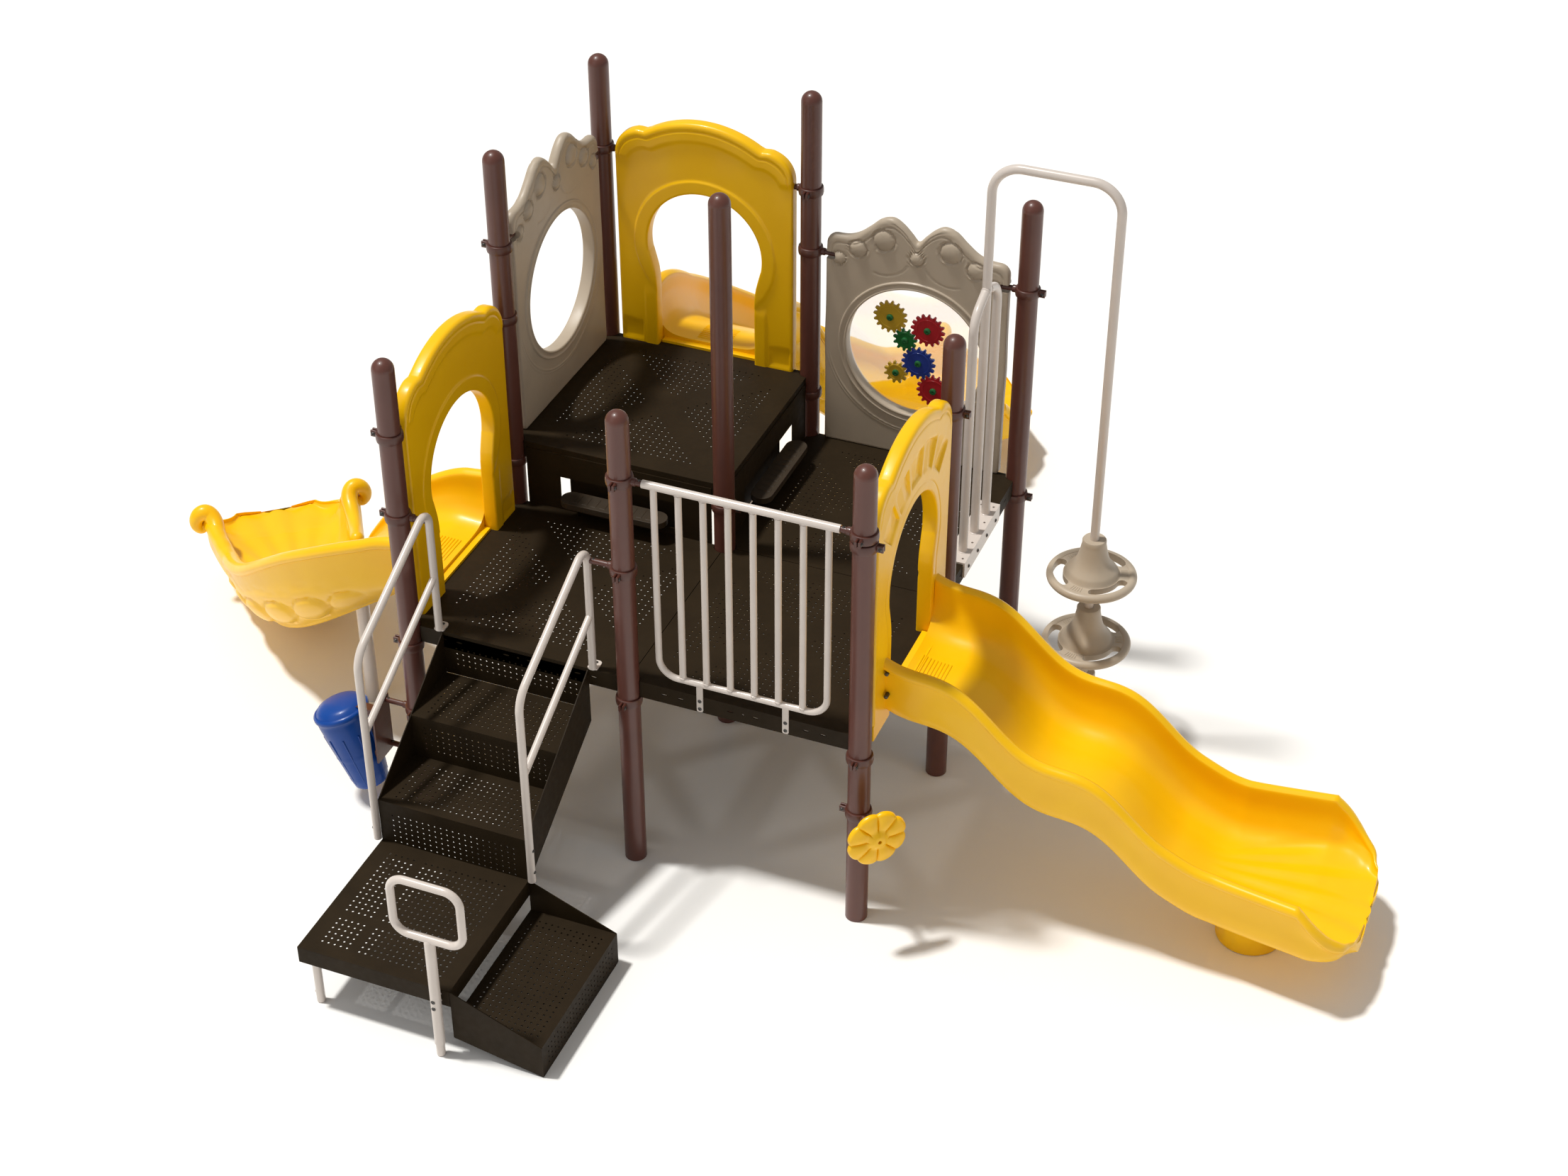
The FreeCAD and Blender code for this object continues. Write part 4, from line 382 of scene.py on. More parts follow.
def belly_relief(run, angle, length):
    """How far a curved slide's outside stands out: a row of round discs and a zig-zag groove above them."""
    fade = smoothstep(0.25, 0.4, run) * (1 - smoothstep(length - 0.28, length - 0.16, run))
    along = (run + DISC_PITCH / 2) % DISC_PITCH - DISC_PITCH / 2
    gap = math.hypot(along, (angle - DISC_ANGLE) * BELLY_R)
    out = 0.02 * math.sqrt(1 - (gap / DISC_R) ** 2) if gap < DISC_R else 0.0
    out -= 0.009 * math.exp(-((gap - DISC_R) / 0.009) ** 2)
    zigzag = abs((run / 0.14) % 2 - 1) - 0.5
    line = (angle - math.radians(-9)) * BELLY_R - 0.035 * zigzag
    out -= 0.005 * math.exp(-(line / 0.007) ** 2)
    return out * fade


def chute_mesh(place, length, row, lip, relief_of=None):
    """Sweep a chute along place(run), add the lip, fan ribs and scallops. row(run) gives the section."""
    runs = list(np.arange(0.0, length, 0.0125))
    runs += list(length + np.linspace(0.0, LIP_LENGTH, 22))
    fan = length - FAN_BACK
    rings = []
    for run in runs:
        past = max(0.0, run - length)
        half, bed, left, right, keel, roll = row(min(run, length))
        share, wall = smooth_lip(lip, past) if past > 0 else (1.0, 1.0)
        half *= share
        bed_here = bed - 0.08 * past
        tops = [bed + (crest - bed) * wall for crest in (left, right)]
        loop = spline_loop(chute_section(half, bed_here, tops[0], tops[1], keel, roll), PER)
        ring = []
        x, y, heading = place(run)
        for k, (u, z) in enumerate(loop):
            ahead = run - fan
            angle = math.atan2(u, ahead) if ahead > 0 else 0.0
            wave = math.cos(angle * RIB_COUNT)
            fade = smoothstep(length - 0.42, length - 0.2, run)
            inside = 1 - smoothstep(0.44, 0.56, abs(angle))
            on_bed = z < bed_here + 0.05 and z > bed_here - 0.012 and abs(u) < half
            if on_bed:
                z += 0.0045 * wave * fade * inside
            if relief_of and k >= UNDERSIDE * PER:
                away = Vector((u, z - bed_here - 0.08))
                out = relief_of(run, math.atan2(away.y, abs(away.x)), length)
                u += away.normalized().x * out
                z += away.normalized().y * out
            grow = 1 + 0.011 * wave * inside * smoothstep(0.1, LIP_LENGTH, past)
            shift = ahead * (grow - 1)
            across = u * grow
            ring.append(Vector((x + shift * math.cos(heading) - across * math.sin(heading),
                                y + shift * math.sin(heading) + across * math.cos(heading), z)))
        rings.append(ring)
    # round the end: smaller last rings pulled inwards
    last = rings[-1]
    centre = sum(last, Vector()) / len(last)
    px, py, heading = place(length + LIP_LENGTH)
    ahead = Vector((math.cos(heading), math.sin(heading), 0))
    rings.append([centre + (p - centre) * 0.8 + ahead * 0.006 for p in last])
    rings.append([centre + (p - centre) * 0.4 + ahead * 0.008 for p in last])
    mesh = Mesh()
    mesh.add(*loft(rings))
    return mesh


def wave_crest(run):
    start = DECK_LOW + 0.251
    swell = 0.040 * (1 - math.cos(TAU * min(run, 1.14) / 0.57))
    fall = start - 0.517 * run + swell - 0.505
    return 0.505 + (fall + math.hypot(fall, 0.036)) / 2


WAVE_X, WAVE_RUN = 2 * BAY + 0.029, 1.675


def wave_place(run):
    return WAVE_X + run, BAY / 2, 0.0


def wave_row(run):
    crest = wave_crest(run)
    half = SLIDE_HALF + 0.05 * max(0.0, run - 1.335) / (WAVE_RUN - 1.335)
    return half, crest - SLIDE_WALL, crest, crest, 0.0, 0.024


CURVE_R, CURVE_TURN = 1.0, math.radians(50)


def curve_place(x, y, heading, lead, tail):
    def place(run):
        way = heading
        first = min(run, lead)
        px, py = x + first * math.cos(way), y + first * math.sin(way)
        swept = min(max(run - lead, 0.0) / CURVE_R, CURVE_TURN)
        cx, cy = px + CURVE_R * math.sin(way), py - CURVE_R * math.cos(way)
        way -= swept
        px, py = cx - CURVE_R * math.sin(way), cy + CURVE_R * math.cos(way)
        rest = max(run - lead - CURVE_R * CURVE_TURN, 0.0)
        return px + rest * math.cos(way), py + rest * math.sin(way), way
    return place, lead + CURVE_R * CURVE_TURN + tail


EXIT_CREST = 0.4
# Centre line of a horn: distance ahead of the rails' end, distance outwards, height
HORN = ((-0.38, 0.0, 0.418), (-0.28, 0.0, 0.395), (-0.18, -0.004, 0.390), (-0.11, -0.010, 0.402),
        (-0.06, -0.014, 0.424), (-0.03, -0.004, 0.448), (-0.02, 0.018, 0.460), (-0.018, 0.044, 0.450),
        (-0.02, 0.060, 0.425), (-0.024, 0.060, 0.398), (-0.026, 0.044, 0.380), (-0.026, 0.026, 0.388))
RAIL_END = 0.036
HORN_TOP = 0.405


def curved_crest(run, length, deck):
    start, level = deck + 0.251, 0.1
    share = max(0.0, run - level) / (length - level)
    return start + (EXIT_CREST - start) * math.sin(math.pi / 2 * share ** 0.8) ** 2


def curved_row(length, deck):
    def row(run):
        share = run / length
        ahead = run - length + RAIL_END
        base = curved_crest(run, length, deck)
        rail = min(HORN_TOP, float(np.interp(ahead, [p[0] for p in HORN[:6]], [p[2] for p in HORN[:6]]))) + 0.03
        join = smoothstep(-0.42, -0.22, ahead)
        crest = (base - 0.055 * smoothstep(-1.0, -0.55, ahead)) * (1 - join) + rail * join
        lean = 0.06 * math.sin(math.pi * share)
        bed = base - SLIDE_WALL + 0.055 * share
        half = SLIDE_HALF + 0.05 * max(0.0, share - 0.75) / 0.25
        keel = 0.19 * max(0.0, math.sin(math.pi * share)) ** 0.7
        return half, bed, crest + 0.5 * lean, crest - lean, keel, 0.028 + 0.01 * smoothstep(0.3, 0.8, share)
    return row


def open_spline(points, per=6):
    """Catmull-Rom curve through points, from the first to the last."""
    p = [Vector(v) for v in points]
    p = [2 * p[0] - p[1]] + p + [2 * p[-1] - p[-2]]
    out = []
    for a, b, c, d in zip(p, p[1:], p[2:], p[3:]):
        for i in range(per):
            t = i / per
            out.append(0.5 * (2 * b + (c - a) * t + (2 * a - 5 * b + 4 * c - d) * t * t
                              + (3 * b - a - 3 * c + d) * t ** 3))
    return out + [p[-2]]


def horn(place, length, sign):
    """The rolled end of a rail: it sweeps up, grows thicker and curls round a small eye."""
    x, y, heading = place(length - RAIL_END)
    left = Vector((-math.sin(heading), math.cos(heading), 0))
    ahead = Vector((math.cos(heading), math.sin(heading), 0))
    line = open_spline(HORN)
    count = len(line) - 1
    radii = [0.033 + 0.006 * smoothstep(0.1, 0.4, k / count) - 0.017 * smoothstep(0.5, 1.0, k / count)
             for k in range(count + 1)]
    path = []
    for spot in line:
        share = 1 + (spot.x - RAIL_END) / length
        across = SLIDE_HALF + 0.05 * min(1.0, max(0.0, share - 0.75) / 0.25) + SLIDE_RAIL - 0.034
        path.append(Vector((x, y, 0)) + ahead * spot.x + left * (sign * (across + spot.y)) + Vector((0, 0, spot.z)))
    mesh = Mesh()
    mesh.add(*sweep(path, 1.0, 24, squash=lambda k: (radii[k], radii[k])))
    for tip, radius in ((path[0], radii[0]), (path[-1], radii[-1])):
        mesh.add(*lathe([(radius * math.sin(math.pi * k / 8), -radius * math.cos(math.pi * k / 8))
                         for k in range(9)], 24), Matrix.Translation(tip))
    return mesh


def grip_ribs(place, row):
    """Nine low ribs across the bed just past the doorway."""
    mesh = Mesh()
    for k in range(9):
        run = 0.03 + 0.0145 * k
        x, y, heading = place(run)
        side = Vector((-math.sin(heading), math.cos(heading), 0))
        spot = Vector((x, y, row(run)[1] - 0.0005))
        ends = [spot + side * (0.08 * t) for t in (-1, -0.94, 0, 0.94, 1)]
        widths = (0.001, 0.0045, 0.0045, 0.0045, 0.001)
        mesh.add(*sweep(ends, 1.0, 10, squash=lambda i: (widths[i], widths[i])))
    return mesh


def tongue(x, y, heading, deck):
    """Entry plate from the slide through the doorway."""
    back = 0.0305
    outline = []
    for sign in (1, -1):
        row = [(0.04, sign * 0.226), (-back, sign * 0.226)]
        outline += row if sign > 0 else row[::-1]
    verts, faces = prism(outline, deck - 0.046, deck + 0.012)
    turn = Matrix.Translation((x, y, 0)) @ Matrix.Rotation(heading, 4, "Z")
    return [turn @ Vector(v) for v in verts], faces


def entry_flange(place, deck, row):
    """Bolt heads where a slide bolts to its arch panel."""
    mesh = Mesh()
    half, bed, left, right = row(0.0)[:4]
    for sign, crest in ((1, left), (-1, right)):
        for z in (bed + 0.06, crest - 0.055):
            x, y, heading = place(0.012)
            side = Vector((-math.sin(heading), math.cos(heading), 0)) * sign
            at = Vector((x, y, z)) + side * (half + 0.012)
            mesh.add(*disc_along(at, side, 0.009, 0.026, 0.004))
    return mesh


def make_slide(label, place, length, row, deck, curls):
    mesh = chute_mesh(place, length, row, CURVED_LIP if curls else WAVE_LIP, belly_relief if curls else None)
    mesh.add(*tongue(*place(0.0), deck))
    mesh.merge(grip_ribs(place, row))
    if curls:
        for sign in (1, -1):
            mesh.merge(horn(place, length, sign))
    piece(label + "_moulding", mesh, YELLOW, (label,), sharp=50)
    piece(label + "_bolts", entry_flange(place, deck, row), BOLT)


make_slide("wave_slide", wave_place, WAVE_RUN, wave_row, DECK_LOW, False)
left_place, left_length = curve_place(-0.029, BAY / 2, math.pi, 0.29, 0.45)
make_slide("left_slide", left_place, left_length, curved_row(left_length, DECK_LOW), DECK_LOW, True)
back_place, back_length = curve_place(BAY / 2, 2 * BAY + 0.029, math.pi / 2, 0.42, 0.55)
make_slide("back_slide", back_place, back_length, curved_row(back_length, DECK_HIGH), DECK_HIGH, True)


# ---------------------------------------------------------------- perforated sheet

HOLE_R = 0.0043


def perforated(xs, ys, holes, thick, notch=0.0):
    """A sheet in the XY plane, top at z = 0. holes maps a grid cell to its hole's half sizes; notch rounds the corners."""
    mesh = Mesh()
    nx, ny = len(xs) - 1, len(ys) - 1
    index = {}
    verts, faces = [], []

    def vertex(i, j, side):
        key = (i, j, side)
        if key not in index:
            index[key] = len(verts)
            verts.append((xs[i], ys[j], -thick * side))
        return index[key]

    for i in range(nx):
        for j in range(ny):
            corner = notch and i in (0, nx - 1) and j in (0, ny - 1)
            ring = [(i, j), (i + 1, j), (i + 1, j + 1), (i, j + 1)]
            if corner:
                gx, gy = xs[0] if i == 0 else xs[-1], ys[0] if j == 0 else ys[-1]
                sx, sy = 1 if i == 0 else -1, 1 if j == 0 else -1
                arc = [(gx + sx * notch * math.cos(a), gy + sy * notch * math.sin(a))
                       for a in np.linspace(0, math.pi / 2, 9)]
                inner = (xs[1] if i == 0 else xs[-2], ys[1] if j == 0 else ys[-2])
                outline = [(inner[0], gy), inner, (gx, inner[1])] + arc[::-1]
                if sx * sy < 0:
                    outline = outline[::-1]
                v, f = prism(outline, -thick, 0)
                base = len(verts)
                verts += v
                faces += [tuple(base + k for k in face) for face in f]
                continue
            tops, lows = [vertex(*p, 0) for p in ring], [vertex(*p, 1) for p in ring]
            half = holes.get((i, j))
            if half is None:
                faces.append(tuple(tops))
                faces.append(tuple(lows[::-1]))
            else:
                cx, cy = (xs[i] + xs[i + 1]) / 2, (ys[j] + ys[j + 1]) / 2
                base = len(verts)
                for side in (0, 1):
                    verts += [(cx + half[0] * math.cos(a), cy + half[1] * math.sin(a), -thick * side)
                              for a in (TAU * (k + 5) / 8 for k in range(8))]
                for k in range(4):
                    a, b, c = base + 2 * k, base + 2 * k + 1, base + (2 * k + 2) % 8
                    faces.append((tops[k], tops[(k + 1) % 4], c, b, a))
                    faces.append((lows[(k + 1) % 4], lows[k], a + 8, b + 8, c + 8))
                for k in range(8):
                    j2 = (k + 1) % 8
                    faces.append((base + k, base + j2, base + 8 + j2, base + 8 + k))
            for side, (p, q) in (("y0", (0, 1)), ("x1", (1, 2)), ("y1", (2, 3)), ("x0", (3, 0))):
                edge = {"y0": j == 0, "y1": j == ny - 1, "x0": i == 0, "x1": i == nx - 1}[side]
                if edge:
                    faces.append((tops[q], tops[p], lows[p], lows[q]))
    mesh.add(verts, faces)
    return mesh


def lines(total, margin, pitch):
    """Grid lines: an edge strip, whole cells of the pitch, and another edge strip."""
    count = int((total - 2 * margin) / pitch)
    start = (total - count * pitch) / 2
    return [0.0] + [start + k * pitch for k in range(count + 1)] + [total]


def grid_holes(xs, ys, keep, half=(HOLE_R, HOLE_R)):
    return {(i, j): half for i in range(1, len(xs) - 2) for j in range(1, len(ys) - 2)
            if keep((xs[i] + xs[i + 1]) / 2, (ys[j] + ys[j + 1]) / 2)}


def upright(origin, along, up):
    """Matrix from a sheet's plane to a wall: local x along, local y up, local z out of the wall."""
    along, up = Vector(along), Vector(up)
    out = along.cross(up)
    return Matrix((
        (along.x, up.x, out.x, origin[0]), (along.y, up.y, out.y, origin[1]),
        (along.z, up.z, out.z, origin[2]), (0, 0, 0, 1)))


DECK_PITCH, SHEET, SKIRT, GAP = 0.030, 0.004, 0.077, 0.0015
DECK_SIDE = BAY - 2 * GAP
NOTCH = 0.0455


def skirt_panel(length):
    """One folded side of a deck with fixing slots and holes."""
    xs, holes = [0.0], {}
    for at in (0.12, 0.2, 0.44, 0.5, 0.56, 0.8, 0.88):
        xs += [length * at - 0.022, length * at + 0.022]
        holes[(len(xs) - 2, 1)] = (0.014, 0.0035) if at not in (0.5,) else (0.005, 0.005)
    xs.append(length)
    return perforated(xs, [0.0, 0.030, 0.050, SKIRT - SHEET], holes, SHEET)


def make_deck(label, i, j, top):
    xs = lines(DECK_SIDE, 0.078, DECK_PITCH)
    centre = DECK_SIDE / 2

    def keep(x, y):
        a, b = abs(x - y), abs(x + y - 2 * centre)
        edge = min(x, y, DECK_SIDE - x, DECK_SIDE - y)
        return min(a, b) > 0.072 and edge > 0.085

    corner = Vector((i * BAY + GAP, j * BAY + GAP, top))
    mesh = Mesh()
    mesh.merge(perforated(xs, xs, grid_holes(xs, xs, keep), SHEET, NOTCH), Matrix.Translation(corner))
    length = DECK_SIDE - 2 * NOTCH
    side = skirt_panel(length)
    low = top - SKIRT
    for origin, along in (((corner.x + NOTCH, corner.y, low), (1, 0, 0)),
                          ((corner.x + DECK_SIDE, corner.y + NOTCH, low), (0, 1, 0)),
                          ((corner.x + DECK_SIDE - NOTCH, corner.y + DECK_SIDE, low), (-1, 0, 0)),
                          ((corner.x, corner.y + DECK_SIDE - NOTCH, low), (0, -1, 0))):
        mesh.merge(side, upright(origin, along, (0, 0, 1)))
    for cx, cy, a0 in ((i, j, 0), (i + 1, j, 90), (i + 1, j + 1, 180), (i, j + 1, 270)):
        arcs = np.radians(np.linspace(a0 + 2, a0 + 88, 12))
        inner, outer = 0.04697, 0.05097
        outline = ([(cx * BAY + outer * math.cos(a), cy * BAY + outer * math.sin(a)) for a in arcs]
                   + [(cx * BAY + inner * math.cos(a), cy * BAY + inner * math.sin(a)) for a in arcs[::-1]])
        mesh.add(*prism(outline, low, top - SHEET))
    piece(label + "_sheet", mesh, DECK_COAT, (label,), sharp=30)


for row in (("front_left_deck", 0, 0, DECK_LOW), ("front_right_deck", 1, 0, DECK_LOW),
            ("back_right_deck", 1, 1, DECK_LOW), ("high_deck", 0, 1, DECK_HIGH)):
    make_deck(*row)

# ---------------------------------------------------------------- stairs and platform

STEP_PITCH = 0.0265


def step_sheet(width, depth, margin_x, margin_y, half=(0.0042, 0.0042)):
    xs, ys = lines(width, margin_x, STEP_PITCH), lines(depth, margin_y, STEP_PITCH)
    return perforated(xs, ys, grid_holes(xs, ys, lambda x, y: True, half), SHEET)


def turned_outline(outline, x, thick):
    """A plate in the YZ plane at x, its outline given as (y, z) pairs."""
    verts, faces = prism(outline, 0, thick)
    matrix = Matrix(((0, 0, 1, x), (1, 0, 0, 0), (0, 1, 0, 0), (0, 0, 0, 1)))
    return [matrix @ Vector(v) for v in verts], faces


def round_path(points, radii, steps=5):
    """A flat outline with chosen corners rounded."""
    out = []
    n = len(points)
    for k, radius in enumerate(radii):
        p = Vector((*points[k], 0))
        if not radius:
            out.append((p.x, p.y))
            continue
        a = (Vector((*points[k - 1], 0)) - p).normalized()
        b = (Vector((*points[(k + 1) % n], 0)) - p).normalized()
        half = a.angle(b) / 2
        centre = p + (a + b).normalized() * radius / math.sin(half)
        first, last = p + a * radius / math.tan(half) - centre, p + b * radius / math.tan(half) - centre
        total = first.angle(last)
        for i in range(steps + 1):
            t = i / steps
            q = centre + (first * math.sin((1 - t) * total) + last * math.sin(t * total)) / math.sin(total)
            out.append((q.x, q.y))
    return out


STAIR_L, STAIR_W, RUN, RISE = 0.147, 0.648, 0.300, 0.2032
STAIR_R = STAIR_L + STAIR_W
PLATFORM = DECK_LOW - 3 * RISE
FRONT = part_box("transfer_platform")[0][1]


def make_stairs():
    mesh = Mesh()
    width = STAIR_W - 2 * SHEET
    left = STAIR_L + SHEET
    for k in (1, 2):
        mesh.merge(step_sheet(width, RUN, 0.03, 0.02), Matrix.Translation((left, -k * RUN, DECK_LOW - k * RISE)))
    wall = upright((left, 0.0015, DECK_LOW - RISE), (1, 0, 0), (0, 0, 1))
    mesh.merge(step_sheet(width, RISE - 0.016, 0.03, 0.03), wall)
    for k, low in ((1, DECK_LOW - 2 * RISE), (2, PLATFORM - SKIRT)):
        height = DECK_LOW - k * RISE - low - SHEET
        wall = upright((left, -k * RUN, low), (1, 0, 0), (0, 0, 1))
        mesh.merge(step_sheet(width, height, 0.03, 0.03 if k == 1 else 0.035), wall)
    points = [(-2 * RUN, PLATFORM - SKIRT), (-1.8 * RUN, PLATFORM + RISE / 10), (0.0015, DECK_LOW - 0.263),
              (0.0015, DECK_LOW), (-2 * RUN, DECK_LOW - 2 * RISE)]
    outline = round_path(points, (0.006, 0.03, 0.006, 0.004, 0.004), 4)
    for x in (STAIR_L, STAIR_R - SHEET):
        mesh.add(*turned_outline(outline, x, SHEET))
    for x in (STAIR_L + SHEET, STAIR_R - SHEET - 0.022):
        mesh.add(*block((x, -0.0225, DECK_LOW - RISE - 0.012), (x + 0.022, 0.0005, DECK_LOW - RISE - SHEET)))
    piece("stair_sheets", mesh, DECK_COAT, ("stair_flight",), sharp=30)


def make_platform():
    mesh = Mesh()
    depth = -2 * RUN - FRONT
    xs, ys = lines(STAIR_W, 0.05, STEP_PITCH), lines(depth, 0.05, STEP_PITCH)

    def keep(x, y):
        return abs(y - depth / 2 + 0.12 * (x - STAIR_W / 2)) > 0.0 and abs(x - 0.21) > 0.016 and \
            abs(y - 0.23) > 0.016

    mesh.merge(perforated(xs, ys, grid_holes(xs, ys, keep, (0.0042, 0.0042)), SHEET),
               Matrix.Translation((STAIR_L, FRONT, PLATFORM)))
    low = PLATFORM - SKIRT
    for corner, far in (((STAIR_L, FRONT), (STAIR_R, FRONT + SHEET)),
                        ((STAIR_L, FRONT), (STAIR_L + SHEET, -2 * RUN)),
                        ((STAIR_R - SHEET, FRONT), (STAIR_R, -2 * RUN)),
                        ((STAIR_L, -2 * RUN - SHEET), (STAIR_R, -2 * RUN))):
        mesh.add(*block((*corner, low), (*far, PLATFORM - SHEET * 0.6)))
    piece("platform_pan", mesh, DECK_COAT, ("transfer_platform",), bevel=0.0018, sharp=30)


SIDE_W, SIDE_TOP = 0.371, 0.1524


def make_side_step():
    mesh = Mesh()
    depth = -2 * RUN - FRONT
    mesh.merge(step_sheet(SIDE_W - SHEET, depth - 2 * SHEET, 0.02, 0.03),
               Matrix.Translation((STAIR_R, FRONT + SHEET, SIDE_TOP)))
    wall = upright((STAIR_R + SIDE_W, FRONT + SHEET, 0), (0, 1, 0), (0, 0, 1))
    mesh.merge(step_sheet(depth - 2 * SHEET, SIDE_TOP, 0.03, 0.018), wall)
    outline = [(STAIR_R, 0.07), (STAIR_R + SIDE_W, 0), (STAIR_R + SIDE_W, SIDE_TOP), (STAIR_R, PLATFORM)]
    outline = round_path(outline, (0.003, 0.003, 0.006, 0.004), 4)
    for y in (FRONT, -2 * RUN - SHEET):
        verts, faces = prism(outline, 0, SHEET)
        mesh.add([(x, y + SHEET - z, h) for x, h, z in verts], faces)
    piece("side_step_sheets", mesh, DECK_COAT, ("side_step",), sharp=30)


def make_platform_legs():
    mesh = Mesh()
    for y in (FRONT + 0.045, -2 * RUN - 0.045):
        x = STAIR_L + 0.045
        mesh.add(*lathe([(0, 0.001), (0.016, 0.001), (0.017, 0.003), (0.017, PLATFORM - SHEET), (0, PLATFORM - SHEET)],
                        24), Matrix.Translation((x, y, 0)))
        mesh.add(*disc_along((x - 0.017, y, 0.045), (-1, 0, 0), 0.006, 0.004, 0.002, 12))
    piece("platform_leg_tubes", mesh, BEIGE_PAINT, ("platform_legs",))


make_stairs()
make_platform()
make_side_step()
make_platform_legs()

# ---------------------------------------------------------------- moulded panels


def relief(inner, outer, steps_in, steps_out, middle, front, back, thick, closed):
    """A moulded panel between two matched outlines. front and back give each face's height at a point."""
    columns = []
    for p, q in zip(inner, outer):
        p, q = np.array(p), np.array(q)
        length = float(np.linalg.norm(q - p))
        stops = ([d / length for d in steps_in]
                 + list(np.linspace(steps_in[-1] / length, 1 - steps_out[-1] / length, middle + 2)[1:-1])
                 + [1 - d / length for d in steps_out[::-1]])
        columns.append([(p + (q - p) * s, s * length, (1 - s) * length) for s in stops])
    count = len(columns[0])
    rings = []
    for column in columns:
        ring = [Vector((p[0], thick / 2 + back(p, a, b), p[1])) for p, a, b in column]
        ring += [Vector((p[0], -thick / 2 - front(p, a, b), p[1])) for p, a, b in reversed(column)]
        rings.append(ring)
    mesh = Mesh()
    if closed:
        rings.append(rings[0])
        verts, faces = loft(rings, True, False)
        n = 2 * count
        total = (len(rings) - 1) * n
        mesh.add(verts[:total], [tuple(k % total for k in f) for f in faces])
    else:
        mesh.add(*loft(rings, True, True))
    return mesh


def edge_drop(distance, radius):
    """How far a face falls away within a rounded edge."""
    if distance >= radius:
        return 0.0
    return radius - math.sqrt(max(0.0, radius * radius - (radius - distance) ** 2))


def groove(distance, at, width, depth):
    t = abs(distance - at) / width
    return -depth * (1 - smoothstep(0.4, 1.0, t)) if t < 1 else 0.0


def resample(points, count):
    points = np.array(points, float)
    seg = np.r_[0, np.cumsum(np.linalg.norm(np.diff(points, axis=0), axis=1))]
    at = np.linspace(0, seg[-1], count)
    return [(float(np.interp(t, seg, points[:, 0])), float(np.interp(t, seg, points[:, 1]))) for t in at]


def curve_between(centre, radius, start, end, count):
    return [(centre[0] + radius * math.cos(a), centre[1] + radius * math.sin(a))
            for a in np.linspace(math.radians(start), math.radians(end), count)]


RISE_C, DOOR_R, NECK, ARCH_HALF = 0.519, 0.268, 0.232, 0.411
ARCH_SIDE, ARCH_BUMP, ARCH_TOP, BUMP_AT, DIP_AT = 0.920, 1.037, 1.116, 0.323, 0.270


def crown(x):
    """Height of the arch's crown: a circular arc between the two bumps."""
    sag = ARCH_TOP - ARCH_BUMP
    radius = (DIP_AT ** 2 + sag ** 2) / (2 * sag)
    return ARCH_TOP - radius + math.sqrt(radius ** 2 - x * x)


def arch_outlines():
    """Matched inner and outer points of the left half, from the foot to the middle of the crown."""
    up, run = ARCH_BUMP - ARCH_SIDE, ARCH_HALF - BUMP_AT
    big = (up ** 2 + run ** 2) / (2 * run)
    corner = [(-(ARCH_HALF - big + big * math.cos(a)), ARCH_SIDE + big * math.sin(a))
              for a in np.linspace(0, math.atan2(up, big - run), 14)]
    blend = [(-BUMP_AT, ARCH_BUMP), (-0.312, 1.0405), (-0.298, 1.0415), (-0.284, 1.0405), (-0.272, 1.0392),
             (-0.258, crown(-0.258) + 0.001)]
    neck = [(-NECK, 0.0), (-NECK, 0.29), (-0.2335, 0.335), (-0.239, 0.378), (-0.2495, 0.42), (-0.2605, 0.462)]
    circle = curve_between((0, RISE_C), DOOR_R, 192, 90, 60)
    top = [(x, crown(x)) for x in np.linspace(-0.25, 0, 40)]
    pairs = [
        (neck, [(-ARCH_HALF, 0.0), (-ARCH_HALF, 0.44)], 40),
        (circle[:24], [(-ARCH_HALF, 0.44), (-ARCH_HALF, ARCH_SIDE)], 40),
        (circle[23:36], corner + blend[1:2], 30),
        (circle[35:], blend[1:] + top, 62),
    ]
    inner, outer = [], []
    for a, b, count in pairs:
        ra, rb = resample(a, count), resample(b, count)
        start = 1 if inner else 0
        inner += ra[start:]
        outer += rb[start:]
    return inner, outer


def mirrored(points):
    return points + [(-x, z) for x, z in points[-2::-1]]


STEPS_EDGE = [0.0, 0.0012, 0.004, 0.008, 0.013, 0.019]


def arch_front(p, a, b):
    """Inner face: rounded edges, a raised band under the crown, an arc round the door and feet ledges."""
    x, z = abs(p[0]), p[1]
    high = -edge_drop(b, 0.019 if z > 0.9 else 0.012) - edge_drop(a, 0.008)
    over = smoothstep(0.885, 0.915, z)
    high += 0.006 * over * (1 - smoothstep(0.080, 0.090, b)) + groove(b, 0.036, 0.005, 0.003) * over
    radius = math.hypot(x, z - RISE_C)
    ring = smoothstep(0.20, 0.30, z) * (1 - smoothstep(0.326, 0.334, radius))
    high += 0.005 * ring
    if z < 0.3:
        high += 0.004 * (1 - smoothstep(0.286, 0.292, x)) * (1 - smoothstep(0.25, 0.3, z))
    if z < 0.14:
        inset = smoothstep(0.012, 0.016, min(z, ARCH_HALF - x + 0.001)) * (1 - smoothstep(0.10, 0.106, z))
        high += -0.005 * inset * smoothstep(0.30, 0.306, x)
    return high


